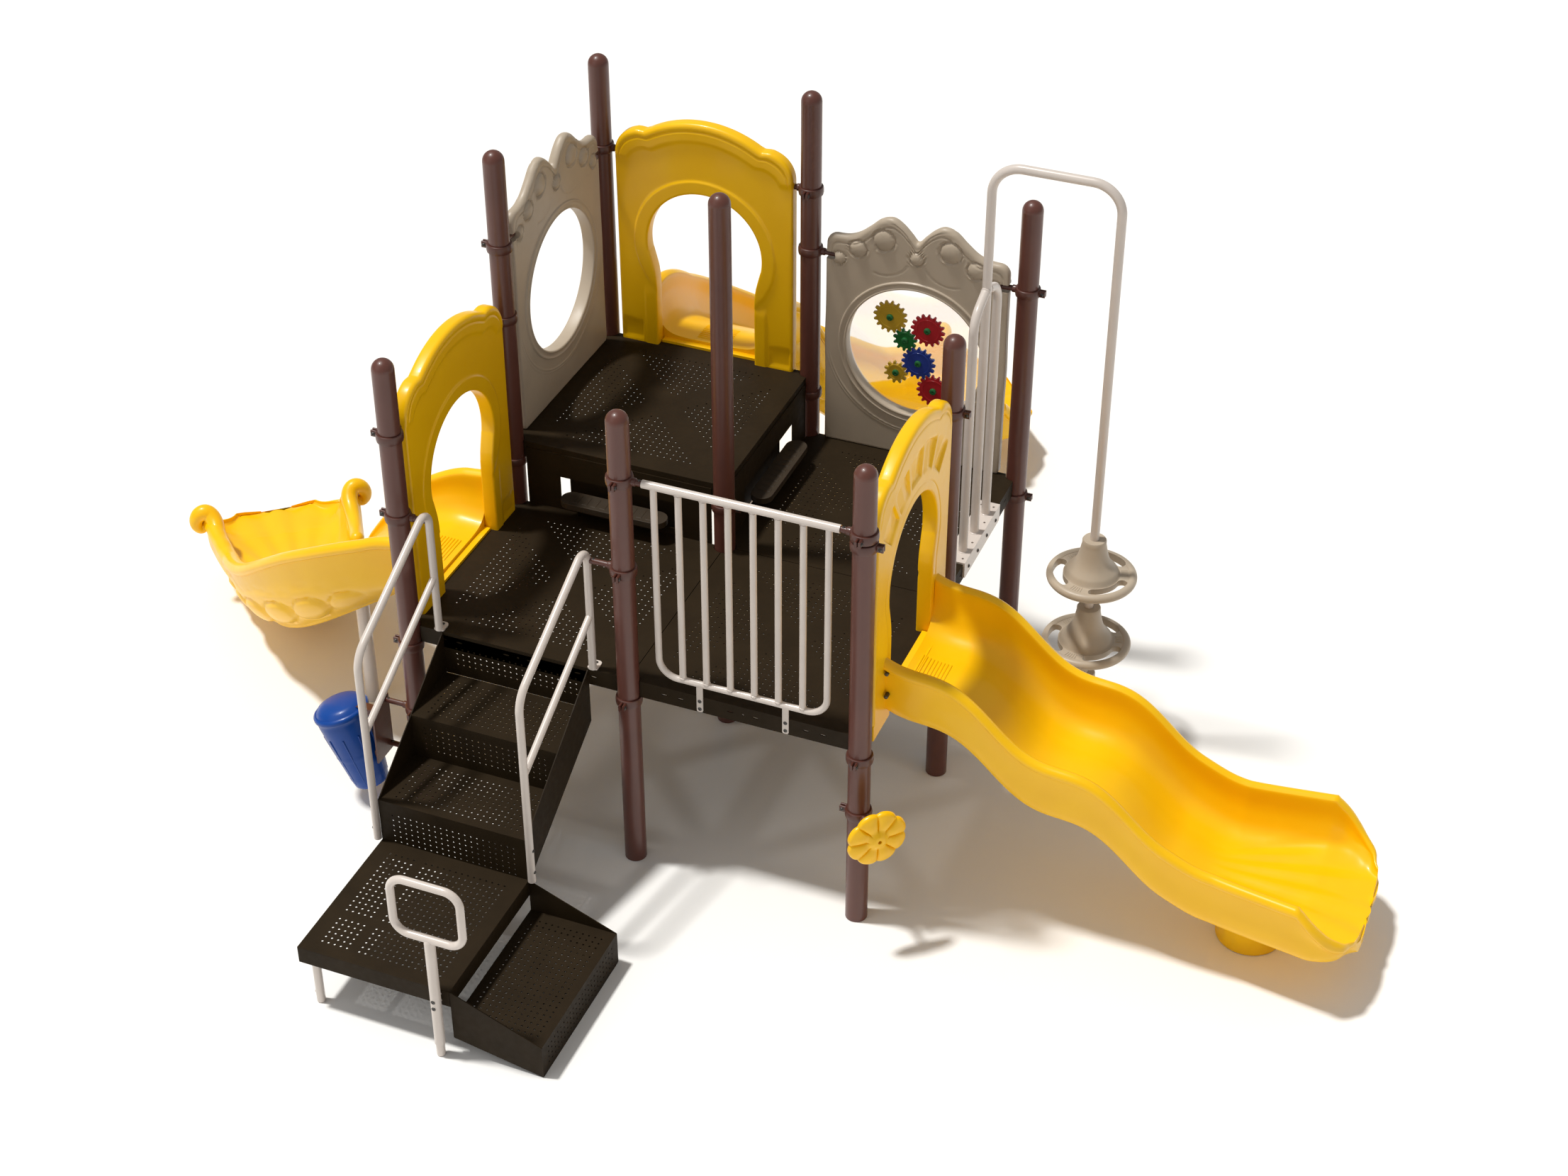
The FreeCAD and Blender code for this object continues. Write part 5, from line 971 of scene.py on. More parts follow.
def arch_back(p, a, b):
    """Outer face: the same edges, with a curved banner of generic facets above the door."""
    x, z = p[0], p[1]
    high = -edge_drop(b, 0.019 if z > 0.9 else 0.012) - edge_drop(a, 0.008)
    radius = math.hypot(x, z - RISE_C)
    angle = math.degrees(math.atan2(x, z - RISE_C))
    if 0.345 < radius < 0.495 and abs(angle) < 50 and z > RISE_C:
        part = (angle + 50) / 20
        cell, across = int(part), part - int(part)
        deep = smoothstep(0.352, 0.362, radius) * (1 - smoothstep(0.472, 0.482, radius))
        deep *= smoothstep(0.06, 0.12, across) * (1 - smoothstep(0.88, 0.94, across))
        up = (radius - 0.36) / 0.115
        facet = abs(across - 0.5) * 2 + (up if cell % 2 else 1 - up)
        high += deep * (-0.011 + 0.009 * max(0.0, 1 - facet * 0.9))
    radial = smoothstep(0.885, 0.915, z)
    high += groove(b, 0.040, 0.004, 0.0025) * radial + groove(a, 0.040, 0.004, 0.002)
    return high


def wall_matrix(x, y, deck, turn):
    return Matrix.Translation((x, y, deck)) @ Matrix.Rotation(math.radians(turn), 4, "Z")


def make_arches():
    inner, outer = arch_outlines()
    inner, outer = mirrored(inner), mirrored(outer)
    panel = relief(inner, outer, STEPS_EDGE + [0.03, 0.037, 0.041, 0.045, 0.052, 0.058, 0.062, 0.066],
                   STEPS_EDGE + [0.03, 0.034, 0.037, 0.041, 0.046], 26, arch_front, arch_back, 0.058, False)
    skirt = Mesh()
    for sign in (1, -1):
        xs = sorted((sign * NECK, sign * ARCH_HALF))
        skirt.add(*block((xs[0], GAP, -0.07), (xs[1], 0.0285, 0.004)))
    for label, x, y, deck, turn in (("left_arch_panel", 0, BAY / 2, DECK_LOW, 90),
                                    ("right_arch_panel", 2 * BAY, BAY / 2, DECK_LOW, -90),
                                    ("back_arch_panel", BAY / 2, 2 * BAY, DECK_HIGH, 0)):
        mesh = Mesh()
        mesh.merge(panel, wall_matrix(x, y, deck, turn))
        piece(label + "_moulding", mesh, YELLOW, (label,), sharp=45)
        mesh = Mesh()
        mesh.merge(skirt, wall_matrix(x, y, deck, turn))
        piece(label + "_apron", mesh, YELLOW, bevel=0.004)


WINDOW_R, BEIGE_HALF, SHOULDER = 0.307, 0.406, 1.022
PEAK, PEAK_AT, VALLEY, BEIGE_THICK = 1.141, 0.116, 1.049, 0.044
DOMES = [(0.0, 0.978, 0.034), (0.148, 1.036, 0.052), (0.262, 0.975, 0.043), (0.347, 0.915, 0.033)]


def beige_top(x):
    """Top outline of a window panel: flat shoulders, two peaks and a valley between them."""
    knots_x = [0.0, 0.03, 0.07, PEAK_AT, 0.165, 0.215, 0.265, 0.31, 0.345, 0.37]
    knots_z = [VALLEY, VALLEY + 0.03, 1.118, PEAK, 1.127, 1.083, 1.044, 1.026, SHOULDER, SHOULDER]
    x = min(abs(x), 0.37)
    k = min(len(knots_x) - 2, max(0, int(np.searchsorted(knots_x, x)) - 1))
    slopes = np.gradient(np.array(knots_z), np.array(knots_x))
    slopes[0], slopes[3], slopes[-1] = 0.0, 0.0, 0.0
    h = knots_x[k + 1] - knots_x[k]
    t = (x - knots_x[k]) / h
    a, b = knots_z[k], knots_z[k + 1]
    return ((2 * t ** 3 - 3 * t ** 2 + 1) * a + (t ** 3 - 2 * t ** 2 + t) * h * slopes[k]
            + (-2 * t ** 3 + 3 * t ** 2) * b + (t ** 3 - t ** 2) * h * slopes[k + 1])


def beige_outline():
    """Right half from the bottom middle, up the side and over to the middle of the valley."""
    quarter = curve_between((BEIGE_HALF - 0.046, SHOULDER - 0.046), 0.046, 0, 90, 10)
    side = [(0.0, 0.0), (BEIGE_HALF - 0.008, 0.0), (BEIGE_HALF, 0.008)]
    side += [(BEIGE_HALF + 0.004 * math.exp(-((z - RISE_C) / 0.12) ** 2), z) for z in np.linspace(0.02, 0.96, 60)]
    return side + quarter + [(x, beige_top(x)) for x in np.linspace(0.358, 0, 90)]


def beige_front(p, a, b):
    x, z = abs(p[0]), p[1]
    high = -edge_drop(b, 0.020 if z > 0.95 else 0.010) - edge_drop(a, 0.007)
    high += 0.007 * (1 - smoothstep(0.034, 0.040, a)) - 0.004 * smoothstep(0.008, 0.012, a) * (
        1 - smoothstep(0.026, 0.030, a))
    high += groove(b, 0.040, 0.004, 0.003) * smoothstep(0.84, 0.9, z)
    radius = math.hypot(x, z - RISE_C)
    low = 1 - smoothstep(0.40, 0.46, z)
    high += (0.0028 * math.exp(-((radius - 0.392) / 0.0035) ** 2) + 0.002 * math.exp(-((radius - 0.404) / 0.0028) ** 2)) * low
    leaf = abs(math.hypot(x - 0.150, z - 1.0) - 0.128)
    high += groove(leaf, 0.0, 0.004, 0.0022) * (1 - smoothstep(0.02, 0.03, max(0.0, x - 0.17)))
    for dx, dz, r in DOMES:
        d = math.hypot(x - dx, z - dz)
        if d < r * 1.25:
            if d < r * 0.86:
                high += 0.017 * math.sqrt(max(0.0, 1 - (d / (r * 0.88)) ** 2)) - 0.005
            else:
                high += -0.005 * (1 - smoothstep(r * 1.0, r * 1.08, d)) + 0.002 * math.exp(
                    -((d - r * 1.12) / 0.003) ** 2)
    return high


SLOT_RISE, SLOT_HALF, SLOT_DEEP = 0.919, 0.018, 0.046


def panel_mesh(faces_both):
    """The window panel as rays from the window's centre to the outline, with arm slots cut afterwards."""
    outline = beige_outline()
    outline = outline + [(-x, z) for x, z in outline[-2:0:-1]]
    loop = resample(outline + outline[:1], 1201)
    angles = np.unwrap([math.atan2(z - RISE_C, x) for x, z in loop])
    order = np.argsort(angles)
    dense = [loop[k] for k in order]
    count = 420
    want = np.linspace(angles[order[0]], angles[order[0]] + TAU, count, endpoint=False)
    sorted_angles = angles[order]
    keep = np.searchsorted(sorted_angles, want).clip(0, len(dense) - 1)
    outer = [dense[k] for k in keep]
    inner = []
    for x, z in outer:
        a = math.atan2(z - RISE_C, x)
        inner.append((WINDOW_R * math.cos(a), RISE_C + WINDOW_R * math.sin(a)))
    steps_in = [0.0, 0.001, 0.003, 0.007, 0.010, 0.013, 0.020, 0.027, 0.031, 0.035, 0.039, 0.043]
    steps_out = [0.0, 0.001, 0.003, 0.006, 0.010]
    return relief(inner, outer, steps_in, steps_out, 56, beige_front, beige_front, BEIGE_THICK, True)


def make_window_panels():
    panel = panel_mesh(True)
    for label, x, y, deck, turn in (("round_window_panel", 0, 1.5 * BAY, DECK_HIGH, 90),
                                    ("gear_panel", 1.5 * BAY, 2 * BAY, DECK_LOW, 0)):
        mesh = Mesh()
        matrix = wall_matrix(x, y, deck, turn)
        mesh.merge(panel, matrix)
        obj = piece(label + "_moulding", mesh, BEIGE, (label,), sharp=45)
        cutter = Mesh()
        for sign in (1, -1):
            end = sign * (BEIGE_HALF - SLOT_DEEP + SLOT_HALF)
            out = sign * (BEIGE_HALF + 0.05)
            outline = [(out, SLOT_RISE - SLOT_HALF), (out, SLOT_RISE + SLOT_HALF)]
            outline += [(end - sign * SLOT_HALF * math.sin(t), SLOT_RISE + SLOT_HALF * math.cos(t))
                        for t in np.linspace(0, math.pi, 13)]
            verts, faces = prism(outline, -0.1, 0.1)
            cutter.add([(u, w, h) for u, h, w in verts], faces, matrix)
        cut_away(obj, cutter)


def cut_away(obj, cutter):
    """Cut a mesh out of a piece and keep the result as plain mesh."""
    me = bpy.data.meshes.new("cutter")
    me.from_pydata([tuple(v) for v in cutter.verts], [], cutter.faces)
    bm = bmesh.new()
    bm.from_mesh(me)
    bmesh.ops.recalc_face_normals(bm, faces=bm.faces)
    bm.to_mesh(me)
    bm.free()
    tool = bpy.data.objects.new("cutter", me)
    bpy.context.collection.objects.link(tool)
    modifier = obj.modifiers.new("cut", "BOOLEAN")
    modifier.operation, modifier.solver, modifier.object = "DIFFERENCE", "EXACT", tool
    bpy.context.view_layer.update()
    done = bpy.data.meshes.new_from_object(obj.evaluated_get(bpy.context.evaluated_depsgraph_get()))
    obj.modifiers.clear()
    obj.data = done
    bpy.data.objects.remove(tool)
    bm = bmesh.new()
    bm.from_mesh(done)
    for face in bm.faces:
        face.smooth = True
    for edge in bm.edges:
        edge.smooth = len(edge.link_faces) == 2 and edge.calc_face_angle(0.0) < math.radians(45)
    bm.to_mesh(done)
    bm.free()


make_arches()
make_window_panels()

# ---------------------------------------------------------------- clamps

WAYS = {"east": Vector((1, 0, 0)), "west": Vector((-1, 0, 0)), "north": Vector((0, 1, 0)), "south": Vector((0, -1, 0))}
RING_IN, RING_OUT, RING_H = POST_R + 0.0003, POST_R + 0.0083, 0.038


def ring_solid(profile, segments=40):
    """Revolve a closed profile that stays clear of the axis."""
    count = len(profile)
    verts = [(r * math.cos(TAU * k / segments), r * math.sin(TAU * k / segments), z)
             for k in range(segments) for r, z in profile]
    faces = []
    for k in range(segments):
        after = (k + 1) % segments
        for i in range(count):
            j = (i + 1) % count
            faces.append((k * count + i, after * count + i, after * count + j, k * count + j))
    return verts, faces


def rounded_bar(start, way, length, half_w, half_h):
    """A bar with rounded long edges from start along a direction."""
    outline = []
    for cx, cy, a0 in ((1, 1, 0), (-1, 1, 90), (-1, -1, 180), (1, -1, 270)):
        r = 0.004
        outline += [(cx * (half_w - r) + r * math.cos(math.radians(a0 + t)),
                     cy * (half_h - r) + r * math.sin(math.radians(a0 + t))) for t in (0, 30, 60, 90)]
    verts, faces = prism(outline, 0, length)
    side = Vector((0, 0, 1)).cross(way)
    matrix = Matrix(((side.x, 0, way.x, start[0]), (side.y, 0, way.y, start[1]),
                     (side.z, 1, way.z, start[2]), (0, 0, 0, 1)))
    return [matrix @ Vector(v) for v in verts], faces


def bolt_head(mesh, at, way, radius=0.007, height=0.005):
    """A domed button head with a small socket ring."""
    profile = [(0, 0), (radius * 1.25, 0), (radius * 1.25, 0.0012), (radius, 0.0014), (radius * 0.96, height * 0.55),
               (radius * 0.72, height * 0.9), (radius * 0.42, height), (radius * 0.4, height * 0.5),
               (0, height * 0.5)]
    turn = Vector((0, 0, 1)).rotation_difference(Vector(way)).to_matrix().to_4x4()
    verts, faces = lathe(profile, 18)
    mesh.add(verts, faces, Matrix.Translation(Vector(at)) @ turn)


def clamp(mesh, bolts, i, j, top, lug, arms=()):
    """A pressed ring with a bolted lug; arms lists (direction, reach, offset)."""
    low = top - RING_H
    bulge = 0.0014
    profile = [(RING_IN, 0), (RING_OUT - 0.003, 0), (RING_OUT - 0.0006, 0.002), (RING_OUT, 0.005),
               (RING_OUT + bulge, 0.012), (RING_OUT + bulge, 0.026), (RING_OUT, 0.033),
               (RING_OUT - 0.0006, 0.036), (RING_OUT - 0.003, RING_H), (RING_IN, RING_H)]
    centre = Vector((i * BAY, j * BAY, low))
    mesh.add(*ring_solid(profile), Matrix.Translation(centre))
    way = WAYS[lug]
    middle_z = centre + Vector((0, 0, RING_H / 2))
    side = Vector((0, 0, 1)).cross(way)
    for sign in (1, -1):
        start = middle_z + way * (POST_R + 0.004) + side * (sign * 0.0075)
        mesh.add(*rounded_bar(start, way, 0.0275, 0.0048, 0.0145))
        bolt_head(bolts, start + way * 0.0165 + side * (sign * 0.0046), side * sign)
    for direction, reach, offset in arms:
        way = WAYS[direction]
        side = Vector((0, 0, 1)).cross(way)
        start = middle_z + way * (POST_R + 0.004)
        start += Vector((offset if way.y else 0.0, offset if way.x else 0.0, 0))
        length = reach - POST_R - 0.004
        verts, faces = disc_along(start, way, 0.0122, length + 0.003, 0.002, 20)
        mesh.add(verts, faces)
        verts, faces = disc_along(start, way, 0.0162, min(0.020, length * 0.6), 0.004, 20)
        mesh.add(verts, faces)
        bolt_head(bolts, start + way * (length - 0.012) + Vector((0, 0, 0.011)), (0, 0, 1), 0.0048, 0.004)


def make_clamps():
    arch, slot = 0.915, 0.938
    panel = 0.073
    seat = 0.118
    deck_rows = [(0, 0, DECK_LOW, "west"), (1, 0, DECK_LOW, "south"), (2, 0, DECK_LOW, "south"),
                 (0, 1, DECK_LOW, "west"), (1, 1, DECK_LOW, "east"), (2, 1, DECK_LOW, "east"),
                 (1, 2, DECK_LOW, "north"), (2, 2, DECK_LOW, "east"), (0, 1, DECK_HIGH, "west"),
                 (1, 1, DECK_HIGH, "east"), (0, 2, DECK_HIGH, "west"), (1, 2, DECK_HIGH, "north")]
    panel_rows = [
        (0, 0, DECK_LOW + arch, "west", [("north", panel, 0)]), (0, 1, DECK_LOW + arch, "west", [("south", panel, 0)]),
        (2, 0, DECK_LOW + arch, "east", [("north", panel, 0)]), (2, 1, DECK_LOW + arch, "east", [("south", panel, 0)]),
        (0, 2, DECK_HIGH + slot, "west", [("east", panel, 0), ("south", seat, 0)]),
        (1, 2, DECK_HIGH + arch, "south", [("west", panel, 0)]), (0, 1, DECK_HIGH + slot, "west", [("north", seat, 0)]),
        (1, 2, DECK_LOW + slot, "north", [("east", seat, 0)]), (2, 2, DECK_LOW + slot, "east", [("west", seat, 0)])]
    rail_z, barrier_z = RAIL_CLAMP + RING_H / 2, BARRIER_TOP + RING_H / 2
    rail_rows = [(0, 0, rail_z, "west", [("east", STAIR_L - 0.032, 0.008)]),
                 (1, 0, rail_z, "south", [("west", BAY - STAIR_R - 0.032, 0.008)]),
                 (1, 0, barrier_z, "south", [("east", 0.092, 0)]), (2, 0, barrier_z, "south", [("west", 0.092, 0)]),
                 (0, 0, 0.480 + RING_H / 2, "south", [("west", 0.150, 0)]),
                 (0, 0, 0.250 + RING_H / 2, "south", [("west", 0.150, 0)]),
                 (2, 0, FLOWER_Z + RING_H / 2, "west", [])]
    for label, rows in (("deck_collars", [(i, j, z - SKIRT, lug, []) for i, j, z, lug in deck_rows]),
                        ("panel_clamps", panel_rows), ("rail_clamps", rail_rows)):
        mesh, bolts = Mesh(), Mesh()
        for row in rows:
            clamp(mesh, bolts, *row)
        if label == "rail_clamps":
            way = Vector((math.sqrt(0.5), -math.sqrt(0.5), 0))
            start = Vector((2 * BAY, 0, FLOWER_Z)) + way * 0.0487
            mesh.add(*disc_along(start, way, 0.013, 0.112, 0.0, 24))
            mesh.add(*disc_along(start, way, 0.019, 0.016, 0.004, 24))
        piece(label + "_rings", mesh, CLAMP_PAINT, (label,), sharp=35)
        piece(label + "_bolts", bolts, BOLT, sharp=35)


# ---------------------------------------------------------------- tube work

RAIL_CLAMP, BARRIER_TOP, BARRIER_LOW, FLOWER_Z = DECK_LOW + 0.5256, DECK_LOW + 0.9396, DECK_LOW + 0.0636, 0.545
TUBE = 0.016


def weld(mesh, at, axis, radius, width=0.004):
    """A small bead where one tube meets another."""
    profile = [(radius * 0.9, -width), (radius + width * 0.5, -width * 0.7), (radius + width, 0),
               (radius + width * 0.5, width * 0.7), (radius * 0.9, width)]
    turn = Vector((0, 0, 1)).rotation_difference(Vector(axis)).to_matrix().to_4x4()
    mesh.add(*ring_solid(profile, 20), Matrix.Translation(Vector(at)) @ turn)


def make_handrail(label, x):
    mesh = Mesh()
    back, front = 0.008, -2 * RUN - 0.005
    top, low = DECK_LOW + 0.6056, DECK_LOW + 0.2916
    path = arc_path([(x, back, DECK_LOW + 0.012), (x, back, top), (x, front, low), (x, front, DECK_LOW - 0.6044)],
                    [0.052, 0.110])
    foot = [(x, back, DECK_LOW + 0.002)]
    mesh.add(*sweep(foot + path, TUBE, 24, squash=lambda k: (1.12, 0.92) if k == 0 else (1, 1)))
    a, b = Vector((x, front, DECK_LOW - 0.0694)), Vector((x, back, DECK_LOW + 0.2606))
    mesh.add(*sweep([a, b], 0.0144, 20))
    outline = round_path([(x - 0.022, GAP), (x + 0.022, GAP), (x + 0.022, 0.0575), (x - 0.022, 0.0575)],
                         (0.006, 0.006, 0.016, 0.016))
    mesh.add(*prism(outline, DECK_LOW + 0.0002, DECK_LOW + 0.006))
    piece(label + "_tube", mesh, BEIGE_PAINT, (label,), sharp=45)
    bolts = Mesh()
    bolt_head(bolts, (x, 0.043, DECK_LOW + 0.006), (0, 0, 1), 0.006, 0.004)
    inner = 1 if x < BAY / 2 else -1
    bolt_head(bolts, (x - inner * TUBE * 0.93, front, 0.36), (-inner, 0, 0), 0.006, 0.005)
    bolt_head(bolts, (x - inner * TUBE * 0.93, front, 0.47), (-inner, 0, 0), 0.006, 0.005)
    piece(label + "_bolts", bolts, BOLT)


def make_grab_loop():
    mesh, bolts = Mesh(), Mesh()
    x, y = STAIR_L + 0.607, FRONT - 0.033
    low, high, half = PLATFORM + 0.2852, PLATFORM + 0.5472, 0.142
    points = [(x, y, low), (x + half, y, low), (x + half, y, high), (x - half, y, high), (x - half, y, low), (x, y, low)]
    mesh.add(*sweep(arc_path(points, 0.062), TUBE, 24))
    mesh.add(*lathe([(0, 0.001), (0.016, 0.001), (0.017, 0.003), (0.017, 0.06), (0.0205, 0.0605), (0.021, 0.064),
                     (0.021, low - 0.012), (0.0195, low - 0.004), (0.015, low + 0.002), (0, low + 0.004)], 28),
             Matrix.Translation((x, y, 0)))
    for drop in (0.018, 0.052):
        z = PLATFORM - drop
        mesh.add(*disc_along((x, y, z), (0, 1, 0), 0.007, 0.034, 0, 16))
        bolt_head(bolts, (x, y - 0.0208, z), (0, -1, 0), 0.007, 0.004)
    piece("grab_loop_tube", mesh, BEIGE_PAINT, ("grab_loop",), sharp=45)
    piece("grab_loop_bolts", bolts, BOLT)


def make_barrier():
    mesh, bolts = Mesh(), Mesh()
    centre, pitch, bar = 1.5 * BAY, 0.0994, 0.0135
    left, right = centre - 3.5 * pitch, centre + 3.5 * pitch
    mesh.add(*sweep([(BAY + 0.092, 0, BARRIER_TOP), (2 * BAY - 0.092, 0, BARRIER_TOP)], 0.0165, 24))
    frame_points = [(left, 0, BARRIER_TOP), (left, 0, BARRIER_LOW), (right, 0, BARRIER_LOW), (right, 0, BARRIER_TOP)]
    mesh.add(*sweep(arc_path(frame_points, 0.08), bar, 24))
    for k in range(1, 7):
        x = left + k * pitch
        mesh.add(*sweep([(x, 0, BARRIER_LOW), (x, 0, BARRIER_TOP)], bar, 20))
        weld(mesh, (x, 0, BARRIER_LOW + bar), (0, 0, 1), bar, 0.0025)
        weld(mesh, (x, 0, BARRIER_TOP - 0.0165), (0, 0, 1), bar, 0.0025)
    low = DECK_LOW - SKIRT + 0.005
    for sign in (-1, 1):
        x = centre + sign * 0.179
        outline = round_path([(x - 0.013, low), (x + 0.013, low), (x + 0.013, BARRIER_LOW), (x - 0.013, BARRIER_LOW)],
                             (0.008, 0.008, 0, 0))
        verts, faces = prism(outline, -0.0035, 0.0015)
        mesh.add([(u, w, h) for u, h, w in verts], faces)
        for z in (low + 0.015, low + 0.052):
            bolt_head(bolts, (x, -0.0035, z), (0, -1, 0), 0.0065, 0.004)
    piece("barrier_tubes", mesh, BEIGE_PAINT, ("barrier_rail",), sharp=45)
    piece("barrier_bolts", bolts, BOLT)


def make_climber():
    mesh, bolts = Mesh(), Mesh()
    x, y = 2 * BAY - 0.031, 1.5 * BAY
    out, high, base = x + 0.52, DECK_LOW + 1.7216, DECK_LOW + 0.004
    mesh.add(*sweep(arc_path([(x, y, base), (x, y, high), (out, y, high), (out, y, 0.001)], 0.12), 0.019, 24))
    turn_in = DECK_LOW + 1.1156
    for sign in (-1, 1):
        side = y + sign * 0.15
        mesh.add(*sweep(arc_path([(x, side, base), (x, side, turn_in), (x, y, turn_in + 0.06)], 0.1), 0.019, 24))
        weld(mesh, (x, y + sign * 0.017, turn_in + 0.053), (0, sign, -0.4), 0.017, 0.004)
    for at in (y - 0.15, y, y + 0.15):
        weld(mesh, (x, at, DECK_LOW + 0.0085), (0, 0, 1), 0.019, 0.004)
    edge = 2 * BAY - GAP
    xs = [0.0, 0.012, 0.026, 0.066, 0.080, 0.092]
    ys = [0.0]
    holes = {}
    for at in (0.03, 0.155, 0.315, 0.44):
        ys += [at - 0.008, at + 0.008]
        holes[(1, len(ys) - 2)] = (0.0055, 0.0055)
        holes[(3, len(ys) - 2)] = (0.0055, 0.0055)
    ys.append(0.470)
    mesh.merge(perforated(xs, ys, holes, 0.008), Matrix.Translation((edge - 0.084, y - 0.235, DECK_LOW + 0.008)))
    outline = round_path([(y - 0.235, DECK_LOW - 0.071), (y + 0.235, DECK_LOW - 0.071), (y + 0.235, DECK_LOW),
                          (y - 0.235, DECK_LOW)], (0.012, 0.012, 0, 0))
    mesh.add(*turned_outline(outline, edge, 0.008))
    piece("climber_tubes", mesh, BEIGE_PAINT, ("climber_frame",), sharp=45)
    for at in (-0.18, -0.06, 0.06, 0.18):
        bolt_head(bolts, (edge + 0.008, y + at, DECK_LOW - 0.04), (1, 0, 0), 0.007, 0.005)
    piece("climber_bolts", bolts, BOLT)


# ---------------------------------------------------------------- slide supports

def foot_mesh(x, y, top):
    """Moulded foot: a flared base ring, shallow flutes and a slightly wider top."""
    mesh = Mesh()
    rows = [(0.0, 0.131), (0.004, 0.134), (0.016, 0.134), (0.022, 0.1315), (0.05, 0.1335), (top * 0.5, 0.14),
            (top - 0.01, 0.149), (top, 0.149)]
    segments = 96
    rings = []
    for z, r in rows:
        ring = []
        for k in range(segments):
            flute = 0.0024 * (0.5 + 0.5 * math.cos(16 * TAU * k / segments)) if 0.03 < z < top else 0.0
            a = TAU * k / segments
            ring.append(Vector((x + (r - flute) * math.cos(a), y + (r - flute) * math.sin(a), z)))
        rings.append(ring)
    mesh.add(*loft(rings, True, True))
    return mesh


def leg_mesh(mesh, bolts, x, y, top):
    """Steel leg with a base flange on the ground."""
    mesh.add(*lathe([(0, 0), (0.030, 0), (0.030, top), (0, top)], 32), Matrix.Translation((x, y, 0)))
    mesh.add(*ring_solid([(0.0295, 0.0), (0.0325, 0.0), (0.0325, 0.006), (0.031, 0.009), (0.0295, 0.009)], 32),
             Matrix.Translation((x, y, 0.0)))
    bolt_head(bolts, (x - 0.0295, y, 0.05), (-1, 0, 0), 0.006, 0.004)


def make_supports():
    crest = wave_crest(1.455)
    piece("wave_slide_foot_moulding", foot_mesh(WAVE_X + 1.455, BAY / 2, crest - SLIDE_WALL - 0.022), YELLOW,
          ("wave_slide_foot",), sharp=40)
    for label, place, length, deck, runs in (("left_slide", left_place, left_length, DECK_LOW, (0.52,)),
                                             ("back_slide", back_place, back_length, DECK_HIGH, (0.42, 1.1))):
        legs, bolts = Mesh(), Mesh()
        for run in runs:
            px, py, _ = place(run)
            leg_mesh(legs, bolts, px, py, curved_crest(run, length, deck) - SLIDE_WALL - 0.05)
        px, py, _ = place(length - 0.15)
        piece(label + "_foot_moulding", foot_mesh(px, py, 0.20), YELLOW, (label + "_supports",),
              sharp=40)
        piece(label + "_legs", legs, BEIGE_PAINT, sharp=40)
        piece(label + "_leg_bolts", bolts, BOLT)


# ---------------------------------------------------------------- pods

def pod_cutter(matrix):
    """Three curved hand slots with round ends."""
    mesh = Mesh()
    inner, outer = 0.120, 0.163
    mid, half = (inner + outer) / 2, (outer - inner) / 2
    for k in range(3):
        a0, a1 = math.radians(40 + 120 * k), math.radians(118 + 120 * k)
        inset = half / mid
        outline = [(outer * math.cos(a), outer * math.sin(a)) for a in np.linspace(a0 + inset, a1 - inset, 20)]
        for end, sign in ((a1 - inset, 1), (a0 + inset, -1)):
            cx, cy = mid * math.cos(end), mid * math.sin(end)
            turns = np.linspace(end, end + math.pi, 9)[1:-1] if sign > 0 else np.linspace(end + math.pi, end + TAU, 9)[1:-1]
            arc = [(cx + half * math.cos(t), cy + half * math.sin(t)) for t in turns]
            if sign > 0:
                outline += arc
                outline += [(inner * math.cos(a), inner * math.sin(a)) for a in np.linspace(a1 - inset, a0 + inset, 20)]
            else:
                outline += arc
        mesh.add(*prism(outline, -0.06, 0.06), matrix)
    return mesh


def make_pods():
    x, y = 2 * BAY - 0.031 + 0.52, 1.5 * BAY
    rim = [(0.170 + 0.0198 * math.cos(a), 0.0195 * math.sin(a)) for a in np.radians(np.linspace(-130, 130, 16))]
    bell = [(0.118, 0.0135), (0.112, 0.020), (0.108, 0.033), (0.1, 0.043), (0.086, 0.058), (0.073, 0.078),
            (0.064, 0.102), (0.057, 0.130), (0.0525, 0.155), (0.0505, 0.164), (0.0505, 0.180), (0.047, 0.185)]
    profile = ([(0.0193, -0.020), (0.106, -0.020), (0.112, -0.0165), (0.118, -0.0135), (0.157, -0.0135)] + rim
               + [(0.157, 0.0135)] + bell + [(0.0193, 0.185)])
    body = ring_solid(profile, 96)
    for k, level in enumerate((0.144, 0.490, 0.836)):
        matrix = Matrix.Translation((x, y, level))
        mesh = Mesh()
        mesh.add(*body, matrix)
        obj = piece(f"pod_{k + 1}_moulding", mesh, BEIGE,
                    ("climber_pods",) if k == 0 else (), sharp=40)
        cut_away(obj, pod_cutter(matrix))
        grips = Mesh()
        for spoke in range(3):
            for rib in range(-2, 3):
                a = math.radians(120 * spoke + 19 + rib * 4.2)
                r0, r1 = 0.124, 0.152
                path = [(x + r * math.cos(a), y + r * math.sin(a), level + 0.0135) for r in (r0, r1)]
                grips.add(*sweep(path, 0.0022, 8))
        piece(f"pod_{k + 1}_grips", grips, BEIGE)


# ---------------------------------------------------------------- drum and flower

